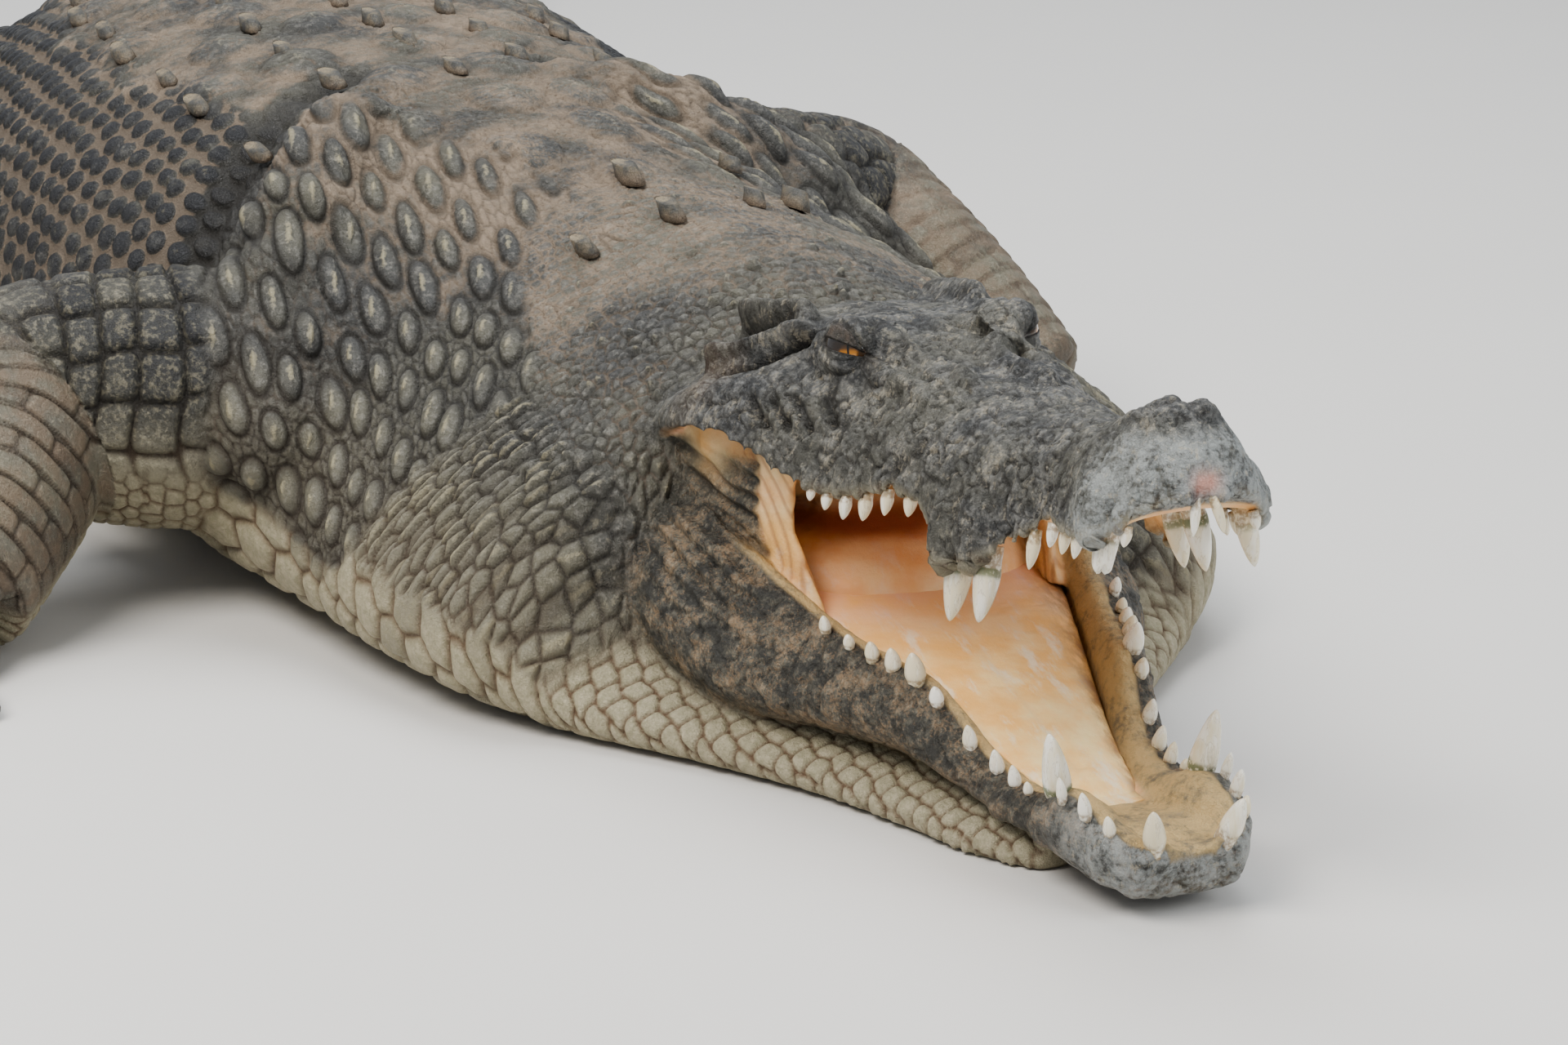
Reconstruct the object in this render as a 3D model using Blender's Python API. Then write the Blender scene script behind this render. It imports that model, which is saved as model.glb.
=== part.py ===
"""A life-size saltwater crocodile at rest on its belly with its jaws open, as a still museum model.

The animal faces +X and its left side is at +Y. The trunk, neck and tail are one loft along a bent
spine, parted by thin cuts. The skull and the lower jaw are lofts in a frame of their own, turned
about the jaw hinge to open the mouth. Each leg is a loft along its bones, parted at the joints.
"""

import math

import bmesh
import bpy
import numpy as np
from mathutils import Matrix, Vector

# Driving dimensions, in metres and degrees.
SKULL = 0.62  # snout tip to the back of the skull table
HINGE_HEIGHT = 0.177  # jaw hinge above the floor
HEAD_UP = 9.6  # pitch of the upper jaw
JAW_DOWN = 11.7  # pitch of the lower jaw
TAIL_END = 3.86  # hinge to tail tip, along the spine
GAP = 0.0005  # thin cut between two nodes
FLOOR_SKIM = 0.009  # how deep a form reaches under the floor before it is cut flat

# Sizes of the skull and the lower jaw, as shares of SKULL against the way back from the snout tip.
HINGE_BACK = 1.08
HINGE_DROP = 0.02
SNOUT_WIDTH = ((-0.018, 0.03), (-0.006, 0.062), (0.035, 0.094), (0.1, 0.112), (0.14, 0.113), (0.19, 0.099),
               (0.23, 0.098), (0.29, 0.122), (0.35, 0.143), (0.42, 0.146), (0.5, 0.153), (0.6, 0.182),
               (0.7, 0.218), (0.8, 0.246), (0.92, 0.272), (1.07, 0.27))
SNOUT_TOP = ((-0.018, 0.072), (-0.006, 0.092), (0.03, 0.122), (0.08, 0.131), (0.16, 0.112), (0.25, 0.104),
             (0.35, 0.108), (0.46, 0.124), (0.56, 0.143), (0.64, 0.158), (0.72, 0.182), (0.8, 0.196),
             (0.97, 0.2), (1.07, 0.175))
UPPER_LIP = ((-0.018, 0.045), (0.05, 0.026), (0.12, -0.01), (0.17, -0.004), (0.21, 0.012), (0.26, -0.004),
             (0.33, -0.048), (0.39, -0.05), (0.44, -0.018), (0.5, 0.006), (0.57, -0.012),
             (0.65, -0.036), (0.71, -0.03), (0.8, 0.006), (0.88, 0.03), (1.07, 0.03))
SECTION_POWER = ((0, 2.1), (0.3, 2.4), (0.55, 2.2), (0.7, 1.75), (0.85, 1.5), (1.07, 1.5))
TABLE_HALF = 0.15
TABLE_TOP = 0.196
PALATE_VAULT = 0.035
EYE_BACK = 0.715
EYE_SIDE = 0.112
EYE_UP = 0.166
EYE_RADIUS = 0.034
JAW_WIDTH = ((0, 0.03), (0.012, 0.066), (0.05, 0.098), (0.1, 0.112), (0.15, 0.118), (0.2, 0.113),
             (0.28, 0.117), (0.38, 0.14), (0.5, 0.176), (0.62, 0.212), (0.75, 0.248), (0.88, 0.272),
             (1.0, 0.272), (1.12, 0.23))
JAW_TOP = ((0, 0.012), (0.05, 0.016), (0.14, 0.03), (0.2, 0.0), (0.3, -0.004), (0.4, 0.014),
           (0.47, 0.026), (0.6, 0.02), (0.75, 0.03), (0.88, 0.034), (1.0, 0.005), (1.12, -0.05))
JAW_BOTTOM = ((0, -0.05), (0.012, -0.066), (0.05, -0.083), (0.12, -0.092), (0.3, -0.1), (0.45, -0.115),
              (0.6, -0.145), (0.75, -0.185), (0.88, -0.2), (1.0, -0.185), (1.12, -0.13))
JAW_FLOOR = ((0, 0.0), (0.1, -0.01), (0.16, -0.03), (0.25, -0.055), (0.45, -0.07), (0.8, -0.07),
             (1.12, -0.08))
JAW_SHELF = ((0, 0.02), (0.05, 0.045), (0.14, 0.07), (0.25, 0.055), (0.45, 0.058), (1.12, 0.06))
JAW_END = 1.1

# Teeth of one side: way back, length and radius, as shares of SKULL.
UPPER_TEETH = ((0.012, 0.036, 0.009), (0.045, 0.02, 0.008), (0.078, 0.06, 0.015),
               (0.125, 0.088, 0.019), (0.16, 0.024, 0.01), (0.235, 0.03, 0.01), (0.265, 0.032, 0.011),
               (0.3, 0.042, 0.014), (0.343, 0.08, 0.02), (0.385, 0.086, 0.022), (0.43, 0.034, 0.012),
               (0.468, 0.028, 0.011), (0.505, 0.036, 0.014), (0.54, 0.036, 0.014),
               (0.572, 0.03, 0.012), (0.602, 0.028, 0.012), (0.63, 0.02, 0.01))
LOWER_TEETH = ((0.012, 0.062, 0.017), (0.052, 0.022, 0.009), (0.092, 0.028, 0.011),
               (0.14, 0.09, 0.021), (0.185, 0.016, 0.008), (0.222, 0.034, 0.011),
               (0.262, 0.034, 0.012), (0.305, 0.034, 0.012), (0.35, 0.022, 0.012),
               (0.395, 0.042, 0.018), (0.432, 0.03, 0.014), (0.468, 0.028, 0.013),
               (0.505, 0.024, 0.011), (0.545, 0.022, 0.01))
BROKEN_TOOTH = (3, 0.45)  # index and share left of the right side's fourth upper tooth
TOOTH_INSET = 1.1  # of its radius inside the lip line

# The axial body, in metres against the way back from the hinge along the spine.
HEADING = ((-0.52, 0), (0.12, 2), (0.33, 15), (0.5, 13), (0.72, 3), (0.95, -4), (1.25, -6), (1.5, -10),
           (1.9, -24), (2.4, -38), (2.9, -34), (3.4, -12), (3.86, 12))
BODY_WIDTH = ((-0.52, 0.05), (-0.48, 0.08), (-0.4, 0.112), (-0.32, 0.146), (-0.22, 0.21),
              (-0.12, 0.28), (-0.04, 0.336), (0.06, 0.363), (0.18, 0.377), (0.34, 0.372), (0.5, 0.362),
              (0.7, 0.366), (0.95, 0.378), (1.2, 0.366), (1.42, 0.31), (1.6, 0.225), (1.8, 0.185),
              (2.1, 0.145), (2.5, 0.102), (2.9, 0.068), (3.3, 0.042), (3.7, 0.022), (3.86, 0.01))
BODY_TOP = ((-0.52, 0.03), (-0.44, 0.042), (-0.3, 0.06), (-0.2, 0.075), (-0.15, 0.085), (-0.105, 0.11),
            (-0.07, 0.22), (-0.03, 0.285), (0.02, 0.305), (0.12, 0.328), (0.3, 0.352), (0.5, 0.392),
            (0.7, 0.422), (0.95, 0.435), (1.2, 0.42), (1.42, 0.378), (1.6, 0.315), (1.8, 0.275),
            (2.1, 0.23), (2.5, 0.182), (2.9, 0.138), (3.3, 0.098), (3.7, 0.055), (3.86, 0.03))
BODY_WAIST = ((-0.52, 0.35), (-0.2, 0.4), (-0.04, 0.26), (0.1, 0.25), (0.3, 0.27), (0.5, 0.32), (1.0, 0.38), (1.5, 0.42),
              (2.0, 0.4), (3.86, 0.45))  # height of the widest place, as a share of the top
UPPER_POWER = ((-0.52, 2), (-0.15, 1.6), (0.1, 1.42), (0.35, 1.6), (0.6, 2.0), (1.2, 2.1), (1.6, 1.9),
               (2.2, 1.75), (3.86, 1.8))
LOWER_POWER = 3.2
CUTS = {"throat": (-0.52, -0.15), "neck": (-0.15, 0.36), "chest": (0.36, 0.78), "trunk": (0.78, 1.2),
        "pelvis": (1.2, 1.58), "tail_root": (1.58, 2.06), "tail_middle": (2.06, 2.6),
        "tail_rear": (2.6, 3.2), "tail_tip": (3.2, TAIL_END)}

# The crest of the tail: pairs of upright scutes in two rows, which merge to one row.
CREST_START, CREST_MERGE = 1.58, 2.82
CREST_PITCH = 0.074
CREST_HEIGHT = ((1.4, 0.004), (1.6, 0.016), (2.2, 0.034), (2.78, 0.05), (3.3, 0.05), (3.86, 0.02))
CREST_SPREAD = ((1.4, 0.09), (2.2, 0.055), (2.78, 0.006), (3.86, 0.002))

SIDES = {"right": -1, "left": 1}
# Legs: joints in metres (x, y, z) and the radii across and upright at each joint.
FORELEG = {
    "right": {"joints": ((-0.36, -0.2, 0.17), (-0.445, -0.56, 0.175), (-0.29, -0.665, 0.062)),
              "toes": -48},
    "left": {"joints": ((-0.53, 0.06, 0.245), (-0.68, 0.32, 0.195), (-0.47, 0.42, 0.062)),
             "toes": 16},
}
HINDLEG = {
    "right": {"joints": ((-1.4, -0.22, 0.18), (-1.17, -0.55, 0.185), (-1.44, -0.66, 0.062)),
              "toes": -40},
    "left": {"joints": ((-1.46, 0.03, 0.17), (-1.53, 0.31, 0.15), (-1.79, 0.4, 0.062)),
             "toes": 28},
}
FORE_RADII = ((0.12, 0.125), (0.088, 0.098), (0.06, 0.072), (0.05, 0.042))
HIND_RADII = ((0.15, 0.14), (0.1, 0.11), (0.064, 0.076), (0.052, 0.046))
HAND = {"palm": 0.11, "width": 0.062, "thick": 0.03, "spread": (-52, -24, 2, 28, 56),
        "lengths": (0.085, 0.105, 0.11, 0.1, 0.075), "radius": 0.0175}
FOOT = {"palm": 0.16, "width": 0.072, "thick": 0.034, "spread": (-30, -10, 11, 31),
        "lengths": (0.11, 0.14, 0.145, 0.12), "radius": 0.0185}
CLAWED = 3  # claws on the inner three digits of each limb
CLAW_LENGTH = 0.036

COLOURS = {
    "hide": ((0.11, 0.1, 0.085), 0.6),
    "throat_skin": ((0.42, 0.36, 0.26), 0.6),
    "mouth": ((0.75, 0.42, 0.2), 0.35),
    "eye": ((0.35, 0.2, 0.04), 0.15),
    "claw": ((0.07, 0.06, 0.05), 0.4),
}


def along(stations, at):
    """The value at one or more places of a smooth curve through (place, value) stations."""
    places, values = np.array(stations, float).T
    slopes = np.gradient(values, places)
    at = np.clip(np.asarray(at, float), places[0], places[-1])
    i = np.clip(np.searchsorted(places, at) - 1, 0, len(places) - 2)
    step = places[i + 1] - places[i]
    t = (at - places[i]) / step
    return ((1 + 2 * t) * (1 - t) ** 2 * values[i] + t * (1 - t) ** 2 * step * slopes[i]
            + t * t * (3 - 2 * t) * values[i + 1] + t * t * (t - 1) * step * slopes[i + 1])


def bell(distance, reach):
    """A smooth bump of height 1 at distance 0."""
    return np.exp(-((distance / reach) ** 2))


def material(name):
    colour, roughness = COLOURS[name]
    made = bpy.data.materials.get(name) or bpy.data.materials.new(name)
    made.use_nodes = True
    shader = made.node_tree.nodes["Principled BSDF"]
    shader.inputs["Base Color"].default_value = (*colour, 1)
    shader.inputs["Roughness"].default_value = roughness
    shader.inputs["Metallic"].default_value = 0
    return made


def collection(name):
    made = bpy.data.collections.new(name)
    bpy.context.scene.collection.children.link(made)
    return made


def add_object(name, bm, finish, where):
    """A mesh object made from bm, its faces pointing out."""
    bmesh.ops.triangulate(bm, faces=bm.faces)
    bmesh.ops.recalc_face_normals(bm, faces=bm.faces)
    if bm.calc_volume(signed=True) < 0:
        bmesh.ops.reverse_faces(bm, faces=bm.faces)
    mesh = bpy.data.meshes.new(name)
    bm.to_mesh(mesh)
    bm.free()
    mesh.materials.append(material(finish))
    mesh.shade_smooth()
    made = bpy.data.objects.new(name, mesh)
    where.objects.link(made)
    return made


def skin_rings(bm, rings):
    """Faces between rings of points, with a flat cap at each end."""
    rows = [[bm.verts.new(p) for p in ring] for ring in rings]
    count = len(rows[0])
    for near, far in zip(rows, rows[1:]):
        for k in range(count):
            bm.faces.new((near[k], near[(k + 1) % count], far[(k + 1) % count], far[k]))
    for row in (rows[0], rows[-1]):
        bm.faces.new(row)


def loft(name, rings, finish, where):
    bm = bmesh.new()
    skin_rings(bm, rings)
    return add_object(name, bm, finish, where)


# The head frame: back, side and up as shares of SKULL, turned about the jaw hinge.

def head_place(back, side, up, pitch):
    """World points from the head frame, with the nose pitched up by pitch degrees."""
    forward = (HINGE_BACK - np.asarray(back, float)) * SKULL
    rise = (np.asarray(up, float) + HINGE_DROP) * SKULL
    c, s = math.cos(math.radians(pitch)), math.sin(math.radians(pitch))
    return np.stack(np.broadcast_arrays(forward * c - rise * s, np.asarray(side, float) * SKULL,
                                        HINGE_HEIGHT + forward * s + rise * c), -1)


def skull_height(back, side):
    """Height of the upper surface of the head."""
    half, lip = along(SNOUT_WIDTH, back), along(UPPER_LIP, back)
    power = along(SECTION_POWER, back)
    across = np.clip(np.abs(side) / half, 0, 1)
    top = along(SNOUT_TOP, back)
    height = lip + (top - lip) * (1 - across**power) ** (1 / power)
    flat = 1 / (1 + np.exp((np.abs(side) - TABLE_HALF) / 0.012))
    behind = 1 / (1 + np.exp((0.79 - back) / 0.015)) / (1 + np.exp((back - 1.0) / 0.012))
    height = height + (np.maximum(height, TABLE_TOP) - height) * flat * behind
    aside = np.abs(side)
    height = height + 0.03 * bell(back - 0.725, 0.055) * bell(aside - 0.088, 0.032)
    height = height + 0.014 * bell(back - 0.055, 0.035) * bell(side, 0.045)
    height = height + 0.012 * bell(back - 0.57, 0.09) * bell(aside - 0.06 - 0.3 * (back - 0.5), 0.022)
    return height - 0.012 * bell(back - 0.6, 0.1) * bell(side, 0.03)


def skull_ring(back):
    """One section of the head: over the top from left to right, then back along the palate."""
    half, lip = along(SNOUT_WIDTH, back), along(UPPER_LIP, back)
    over = np.linspace(0, math.pi, 13)
    side = half * np.sign(np.cos(over)) * np.abs(np.cos(over)) ** 0.75
    up = skull_height(back, side)
    under = half * np.array((-0.82, -0.5, 0, 0.5, 0.82))
    rise = PALATE_VAULT * min(1, 0.2 + 7 * back) + max(0, -0.6 * lip)
    vault = lip + rise * np.sqrt(1 - (under / half) ** 2)
    return head_place(back, np.concatenate([side, under]), np.concatenate([up, vault]), HEAD_UP)


def jaw_ring(back):
    """One section of the lower jaw: outer side and shelf of each ramus, with the mouth's floor."""
    half, top = along(JAW_WIDTH, back), along(JAW_TOP, back)
    bottom, floor = along(JAW_BOTTOM, back), along(JAW_FLOOR, back)
    shelf = min(along(JAW_SHELF, back), 0.75 * half)
    middle = top - 0.4 * (top - bottom)
    turn = np.radians((-90, -65, -42, -20, 0, 35, 65))
    below = turn <= 0
    side = np.where(below, half * np.cos(turn) ** 0.7, half - 0.3 * shelf * np.sin(turn) ** 3)
    up = middle + np.where(below, middle - bottom, top - middle) * np.sin(turn)
    inner = half - shelf * np.array((0.62, 0.95, 1.12))
    inner_up = np.array((top, 0.5 * (top + floor), floor))
    side = np.concatenate([side, inner])
    up = np.concatenate([up, inner_up])
    side = np.concatenate([side, [0.0], -side[:0:-1]])
    up = np.concatenate([up, [floor], up[:0:-1]])
    return head_place(back, side, up, -JAW_DOWN)


def tongue_ring(back):
    """One section of the tongue, which fills the floor of the mouth."""
    half = along(JAW_WIDTH, back) - 1.16 * along(JAW_SHELF, back) - 0.004
    floor = along(JAW_FLOOR, back) + GAP / SKULL
    rise = 0.034 * bell(back - 0.62, 0.42)
    turn = np.linspace(0, math.pi, 9)
    side = np.concatenate([half * np.cos(turn), half * np.array((-0.6, 0.0, 0.6))])
    up = np.concatenate([floor + 0.003 + rise * np.sin(turn) ** 0.8, floor * np.ones(3)])
    return head_place(back, side, up, -JAW_DOWN)


def cone_tooth(bm, root, tip_way, length, radius, back_way, sides):
    """A curved cone that starts inside the gum."""
    tip_way, back_way = Vector(tip_way).normalized(), Vector(back_way).normalized()
    across = tip_way.cross(back_way).normalized()
    rings = []
    for share, wide in ((-0.2 - 0.014 / length, 1.0), (0.5, 0.8))[:1 if length < 0.024 else 2]:
        middle = Vector(root) + tip_way * length * share + back_way * length * 0.1 * max(share, 0) ** 2
        rings.append([bm.verts.new(middle + (across * math.cos(a) + back_way * math.sin(a))
                                   * radius * wide)
                      for a in (2 * math.pi * k / sides for k in range(sides))])
    tip = bm.verts.new(Vector(root) + tip_way * length + back_way * length * 0.1)
    for near, far in zip(rings, rings[1:]):
        for k in range(sides):
            bm.faces.new((near[k], near[(k + 1) % sides], far[(k + 1) % sides], far[k]))
    for k in range(sides):
        bm.faces.new((rings[-1][k], rings[-1][(k + 1) % sides], tip))
    bm.faces.new(rings[0])


def tooth_row(name, table, width, margin, pitch, way, where):
    """All the teeth of one jaw, as a tool that is joined to the jaw."""
    bm = bmesh.new()
    for side in SIDES.values():
        for number, (back, length, radius) in enumerate(table):
            if way < 0 and side == SIDES["right"] and number == BROKEN_TOOTH[0]:
                length *= BROKEN_TOOTH[1]
            half = along(width, back) - TOOTH_INSET * radius
            root = head_place(back, side * half, along(margin, back) + 0.002 * way, pitch)
            out = head_place(back - (0.25 if back < 0.03 else 0), side * (half + 0.22),
                             along(margin, back) + way, pitch)
            behind = head_place(back + 1, side * half, along(margin, back), pitch)
            cone_tooth(bm, root, out - root, length * SKULL, radius * SKULL, behind - root,
                       6 if length > 0.06 else 5)
    return add_object(name, bm, "mouth", where)


def cheek_rings(side):
    """The web of skin in the corner of the mouth, from the lower jaw up to the head."""
    rings = []
    for up in (0.135, 0.17, 0.2, 0.238):
        front = 0.2 + 0.5 * abs(up - 0.185)
        points = []
        for turn in np.linspace(0, 2 * math.pi, 10, endpoint=False):
            x = front - 0.09 + 0.09 * math.cos(turn)
            y = 0.128 - 0.2 * (x - 0.1) + 0.012 * math.sin(turn)
            points.append((x, side * y, up))
        rings.append(points)
    return rings


# The axial body.

def spine(at):
    """(point on the floor, unit way back) of the spine at a way back from the hinge."""
    steps = np.linspace(0, at, max(2, int(abs(at) / 0.01)))
    turn = np.radians(along(HEADING, steps))
    x, y = -np.trapz(np.cos(turn), steps), -np.trapz(np.sin(turn), steps)
    last = math.radians(float(along(HEADING, at)))
    return Vector((x, y, 0)), Vector((-math.cos(last), -math.sin(last), 0))


def crest_height(at):
    """Height of the tail's crest: a saw of leaning scutes."""
    if at < CREST_START:
        return 0.0
    phase = ((at - CREST_START) / CREST_PITCH) % 1
    return float(along(CREST_HEIGHT, at)) * (0.3 + 0.7 * phase)


def body_ring(at, points):
    """One section of the body: belly cut flat at the floor, two crest lines on the tail."""
    width, top = float(along(BODY_WIDTH, at)), float(along(BODY_TOP, at))
    waist = float(along(BODY_WAIST, at)) * top
    power = float(along(UPPER_POWER, at))
    turn = np.linspace(-math.pi / 2, math.pi / 2, points)
    c, s = np.cos(turn), np.sin(turn)
    side = width * np.where(turn < 0, np.abs(c) ** (2 / LOWER_POWER), np.abs(c) ** (2 / power))
    low = waist - (waist + FLOOR_SKIM) * np.abs(s) ** (2 / LOWER_POWER)
    up = np.where(turn < 0, low, waist + (top - waist) * np.abs(s) ** (2 / power))
    up = np.maximum(up, 0)
    if at >= CREST_START:
        spread = float(along(CREST_SPREAD, at))
        side[-2], up[-2] = spread, up[-1] + crest_height(at)
        side[-3] = max(spread + 0.006, 0.7 * side[-3])
        up[-3] = waist + (top - waist) * max(0, 1 - (side[-3] / width) ** power) ** (1 / power)
        up[-1] += 0.8 * crest_height(at) * float(bell(at - TAIL_END, TAIL_END - CREST_MERGE))
    side = np.concatenate([side, -side[-2:0:-1]])
    up = np.concatenate([up, up[-2:0:-1]])
    place, way = spine(at)
    left = Vector((-way.y, way.x, 0)) * -1
    return [place + left * float(a) + Vector((0, 0, float(z))) for a, z in zip(side, up)]


def body_stations(start, end):
    """Where the sections lie between two cuts: at each tooth of the crest, or evenly."""
    inner = []
    if start >= CREST_START:
        first = math.ceil((start - CREST_START) / CREST_PITCH + 0.1)
        last = math.floor((end - CREST_START) / CREST_PITCH - 0.1)
        for k in range(first, last + 1):
            tooth = CREST_START + k * CREST_PITCH
            inner += [tooth - 0.12 * CREST_PITCH, tooth]
    else:
        count = max(2, round((end - start) / 0.085))
        inner = list(np.linspace(start, end, count + 1)[1:-1])
    return [start + GAP / 2] + inner + [end - GAP / 2]


def build_body(where):
    made = {}
    for name, (start, end) in CUTS.items():
        finish = "throat_skin" if name == "throat" else "hide"
        points = 7 if start >= CREST_START else 9 if end < 0 else 11
        rings = [body_ring(at, points) for at in body_stations(start, end)]
        made[name] = loft(name, rings, finish, where)
    return made


# Legs.

def leg_rings(centres, radii, count=10):
    """Rings across a bent limb, each turned half way between the bones that it joins."""
    rings = []
    for k, centre in enumerate(centres):
        before = centres[max(k - 1, 0)]
        after = centres[min(k + 1, len(centres) - 1)]
        way = (after - before).normalized()
        across = way.cross(Vector((0, 0, 1))).normalized()
        upright = across.cross(way).normalized()
        wide, high = radii[k]
        rings.append([centre + across * wide * math.cos(a) + upright * high * math.sin(a)
                      for a in (2 * math.pi * n / count for n in range(count))])
    return rings


def limb_path(joints, radii, start, end, swell):
    """(centres, radii) between two joints, with the flesh swelling in the middle."""
    a, b = Vector(joints[start]), Vector(joints[end])
    centres, sizes = [], []
    for share in np.linspace(0, 1, 4):
        centres.append(a.lerp(b, share))
        more = 1 + swell * math.sin(math.pi * share)
        sizes.append([(1 - share) * r0 + share * r1 for r0, r1 in zip(radii[start], radii[end])])
        sizes[-1] = [r * more for r in sizes[-1]]
    return centres, sizes


def flatten_under(rings, level=0.0):
    return [[Vector((p.x, p.y, max(p.z, level))) for p in ring] for ring in rings]


def paw(name, limb, wrist, forearm_way, heading, finish, where):
    """A hand or foot: a palm that lies on the floor with its digits joined on. It returns the claws' places."""
    way = Vector((math.cos(math.radians(heading)), math.sin(math.radians(heading)), 0))
    across = Vector((-way.y, way.x, 0))
    side = 1 if heading > 0 else -1
    bm = bmesh.new()
    wide, thick = limb["width"], limb["thick"]
    rings = []
    root = Vector(wrist)
    for share, breadth, height in ((0.0, 0.8, 1.0), (0.35, 0.85, 0.8), (0.7, 1.0, 0.62), (1.0, 0.86, 0.5)):
        centre = root + way * limb["palm"] * share
        tall = thick * 2 * height
        level = max(root.z * (1 - share) ** 1.5, tall * 0.5 - 0.7 * FLOOR_SKIM)
        rings.append([Vector((0, 0, level)) + Vector((centre.x, centre.y, 0))
                      + across * wide * breadth * math.cos(a) + Vector((0, 0, tall * 0.5 * math.sin(a)))
                      for a in (2 * math.pi * n / 8 for n in range(8))])
    skin_rings(bm, rings)
    palm = add_object(name, bm, finish, where)
    claws = []
    for number, (turn, length) in enumerate(zip(limb["spread"], limb["lengths"])):
        angle = math.radians(heading - side * turn)
        out = Vector((math.cos(angle), math.sin(angle), 0))
        start = root + way * limb["palm"] * 0.72 - across * side * wide * 0.75 * turn / max(limb["spread"])
        radius = limb["radius"]
        centres = [Vector((start.x, start.y, 0)) + out * length * t + Vector((0, 0, radius * h))
                   for t, h in ((-0.2, 0.9), (0.55, 0.8), (1.0, 0.5))]
        sizes = [(radius * r, radius * r) for r in (1.15, 1.0, 0.55)]
        digit = bmesh.new()
        skin_rings(digit, leg_rings(centres, sizes, 5))
        made = add_object(f"{name}_digit_{number + 1}", digit, finish, where)
        join(palm, made)
        if number < CLAWED:
            claws.append((centres[-1], out, radius * 0.5))
    boolean(palm, bpy.data.objects["floor_cut"], "DIFFERENCE")
    return palm, claws


def claw(name, centre, out, radius, where):
    """A curved claw that stands just off the digit's flat end."""
    bm = bmesh.new()
    centres = [centre + out * (4 * GAP + CLAW_LENGTH * t) + Vector((0, 0, CLAW_LENGTH * h))
               for t, h in ((0, 0), (0.35, 0.03), (0.7, -0.06), (1.0, -0.2))]
    sizes = [(radius * r, radius * 1.1 * r) for r in (0.95, 0.85, 0.5, 0.12)]
    skin_rings(bm, flatten_under(leg_rings(centres, sizes, 5), 0.001))
    return add_object(name, bm, "claw", where)


# Joining and parting.

def as_tool(piece):
    piece.hide_render = True
    piece.display_type = "WIRE"
    for home in list(piece.users_collection):
        home.objects.unlink(piece)
    bpy.data.collections["cutters"].objects.link(piece)


def boolean(piece, tool, operation):
    step = piece.modifiers.new(f"{operation.lower()} {tool.name}", "BOOLEAN")
    step.operation = operation
    step.object = tool
    step.solver = "EXACT"
    return step


def join(piece, other):
    """Joins other to piece as one body. Other stays as a hidden tool."""
    boolean(piece, other, "UNION")
    as_tool(other)


def part_from(piece, *others):
    """Cuts piece back from each of the others, by a thin gap."""
    for other in others:
        shell = bpy.data.objects.new(f"{other.name}_shell_{piece.name}", other.data)
        bpy.context.scene.collection.objects.link(shell)
        grow = shell.modifiers.new("gap", "DISPLACE")
        grow.strength = GAP
        grow.mid_level = 0
        as_tool(shell)
        boolean(piece, shell, "DIFFERENCE")


def eye(name, side, head, where):
    """An eyeball in a socket cut from the head."""
    centre = head_place(EYE_BACK, side * EYE_SIDE, EYE_UP, HEAD_UP)
    for label, radius in ((name, EYE_RADIUS * SKULL), (f"{name}_socket", EYE_RADIUS * SKULL + GAP)):
        bm = bmesh.new()
        bmesh.ops.create_uvsphere(bm, u_segments=9, v_segments=6, radius=radius)
        ball = add_object(label, bm, "eye", where)
        ball.location = centre
    boolean(head, ball, "DIFFERENCE")
    as_tool(ball)


def build_head(where):
    backs = (-0.014, 0.003, 0.035, 0.08, 0.125, 0.165, 0.21, 0.26, 0.315, 0.36, 0.41, 0.46, 0.53, 0.6,
             0.66, 0.715, 0.76, 0.8, 0.88, 0.985, 1.06)
    head = loft("head", [skull_ring(b) for b in backs], "hide", where)
    backs = (0.004, 0.02, 0.05, 0.09, 0.13, 0.17, 0.22, 0.28, 0.35, 0.41, 0.47, 0.55, 0.64, 0.74, 0.84,
             0.94, JAW_END)
    jaw = loft("lower_jaw", [jaw_ring(b) for b in backs], "hide", where)
    tongue = loft("tongue", [tongue_ring(b) for b in np.linspace(0.2, 0.8, 8)], "mouth", where)
    cheeks = {name: loft(f"mouth_corner_{name}", cheek_rings(side), "mouth", where)
              for name, side in SIDES.items()}
    return head, jaw, tongue, cheeks


def build_leg(kind, name, plan, radii, paw_plan, trunk_parts, where):
    """Upper part, lower part, paw and claws of one leg."""
    names = {"fore": ("upper_arm", "forearm", "hand"), "hind": ("thigh", "shank", "foot")}[kind]
    joints = [Vector(j) for j in plan["joints"]]
    upper, upper_sizes = limb_path(joints, radii, 0, 1, 0.04)
    lower, lower_sizes = limb_path(joints, radii, 1, 2, 0.1)
    centres = upper + lower[1:]
    sizes = upper_sizes + lower_sizes[1:]
    rings = leg_rings(centres, sizes)
    knee = len(upper) - 1
    bone = (joints[2] - joints[0]).normalized() * GAP
    upper_leg = loft(f"{names[0]}_{name}", flatten_under(rings[:knee + 1]), "hide", where)
    lower_rings = [[p + bone for p in rings[knee]]] + rings[knee + 1:]
    lower_leg = loft(f"{names[1]}_{name}", flatten_under(lower_rings), "hide", where)
    wrist = joints[2]
    paw_piece, claws = paw(f"{names[2]}_{name}", paw_plan, wrist, None, plan["toes"], "hide", where)
    part_from(lower_leg, upper_leg)
    part_from(paw_piece, lower_leg)
    part_from(upper_leg, *trunk_parts)
    for number, (centre, out, radius) in enumerate(claws):
        claw(f"claw_{names[2]}_{name}_{number + 1}", centre, out, radius, where)
    return upper_leg, lower_leg, paw_piece


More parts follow.
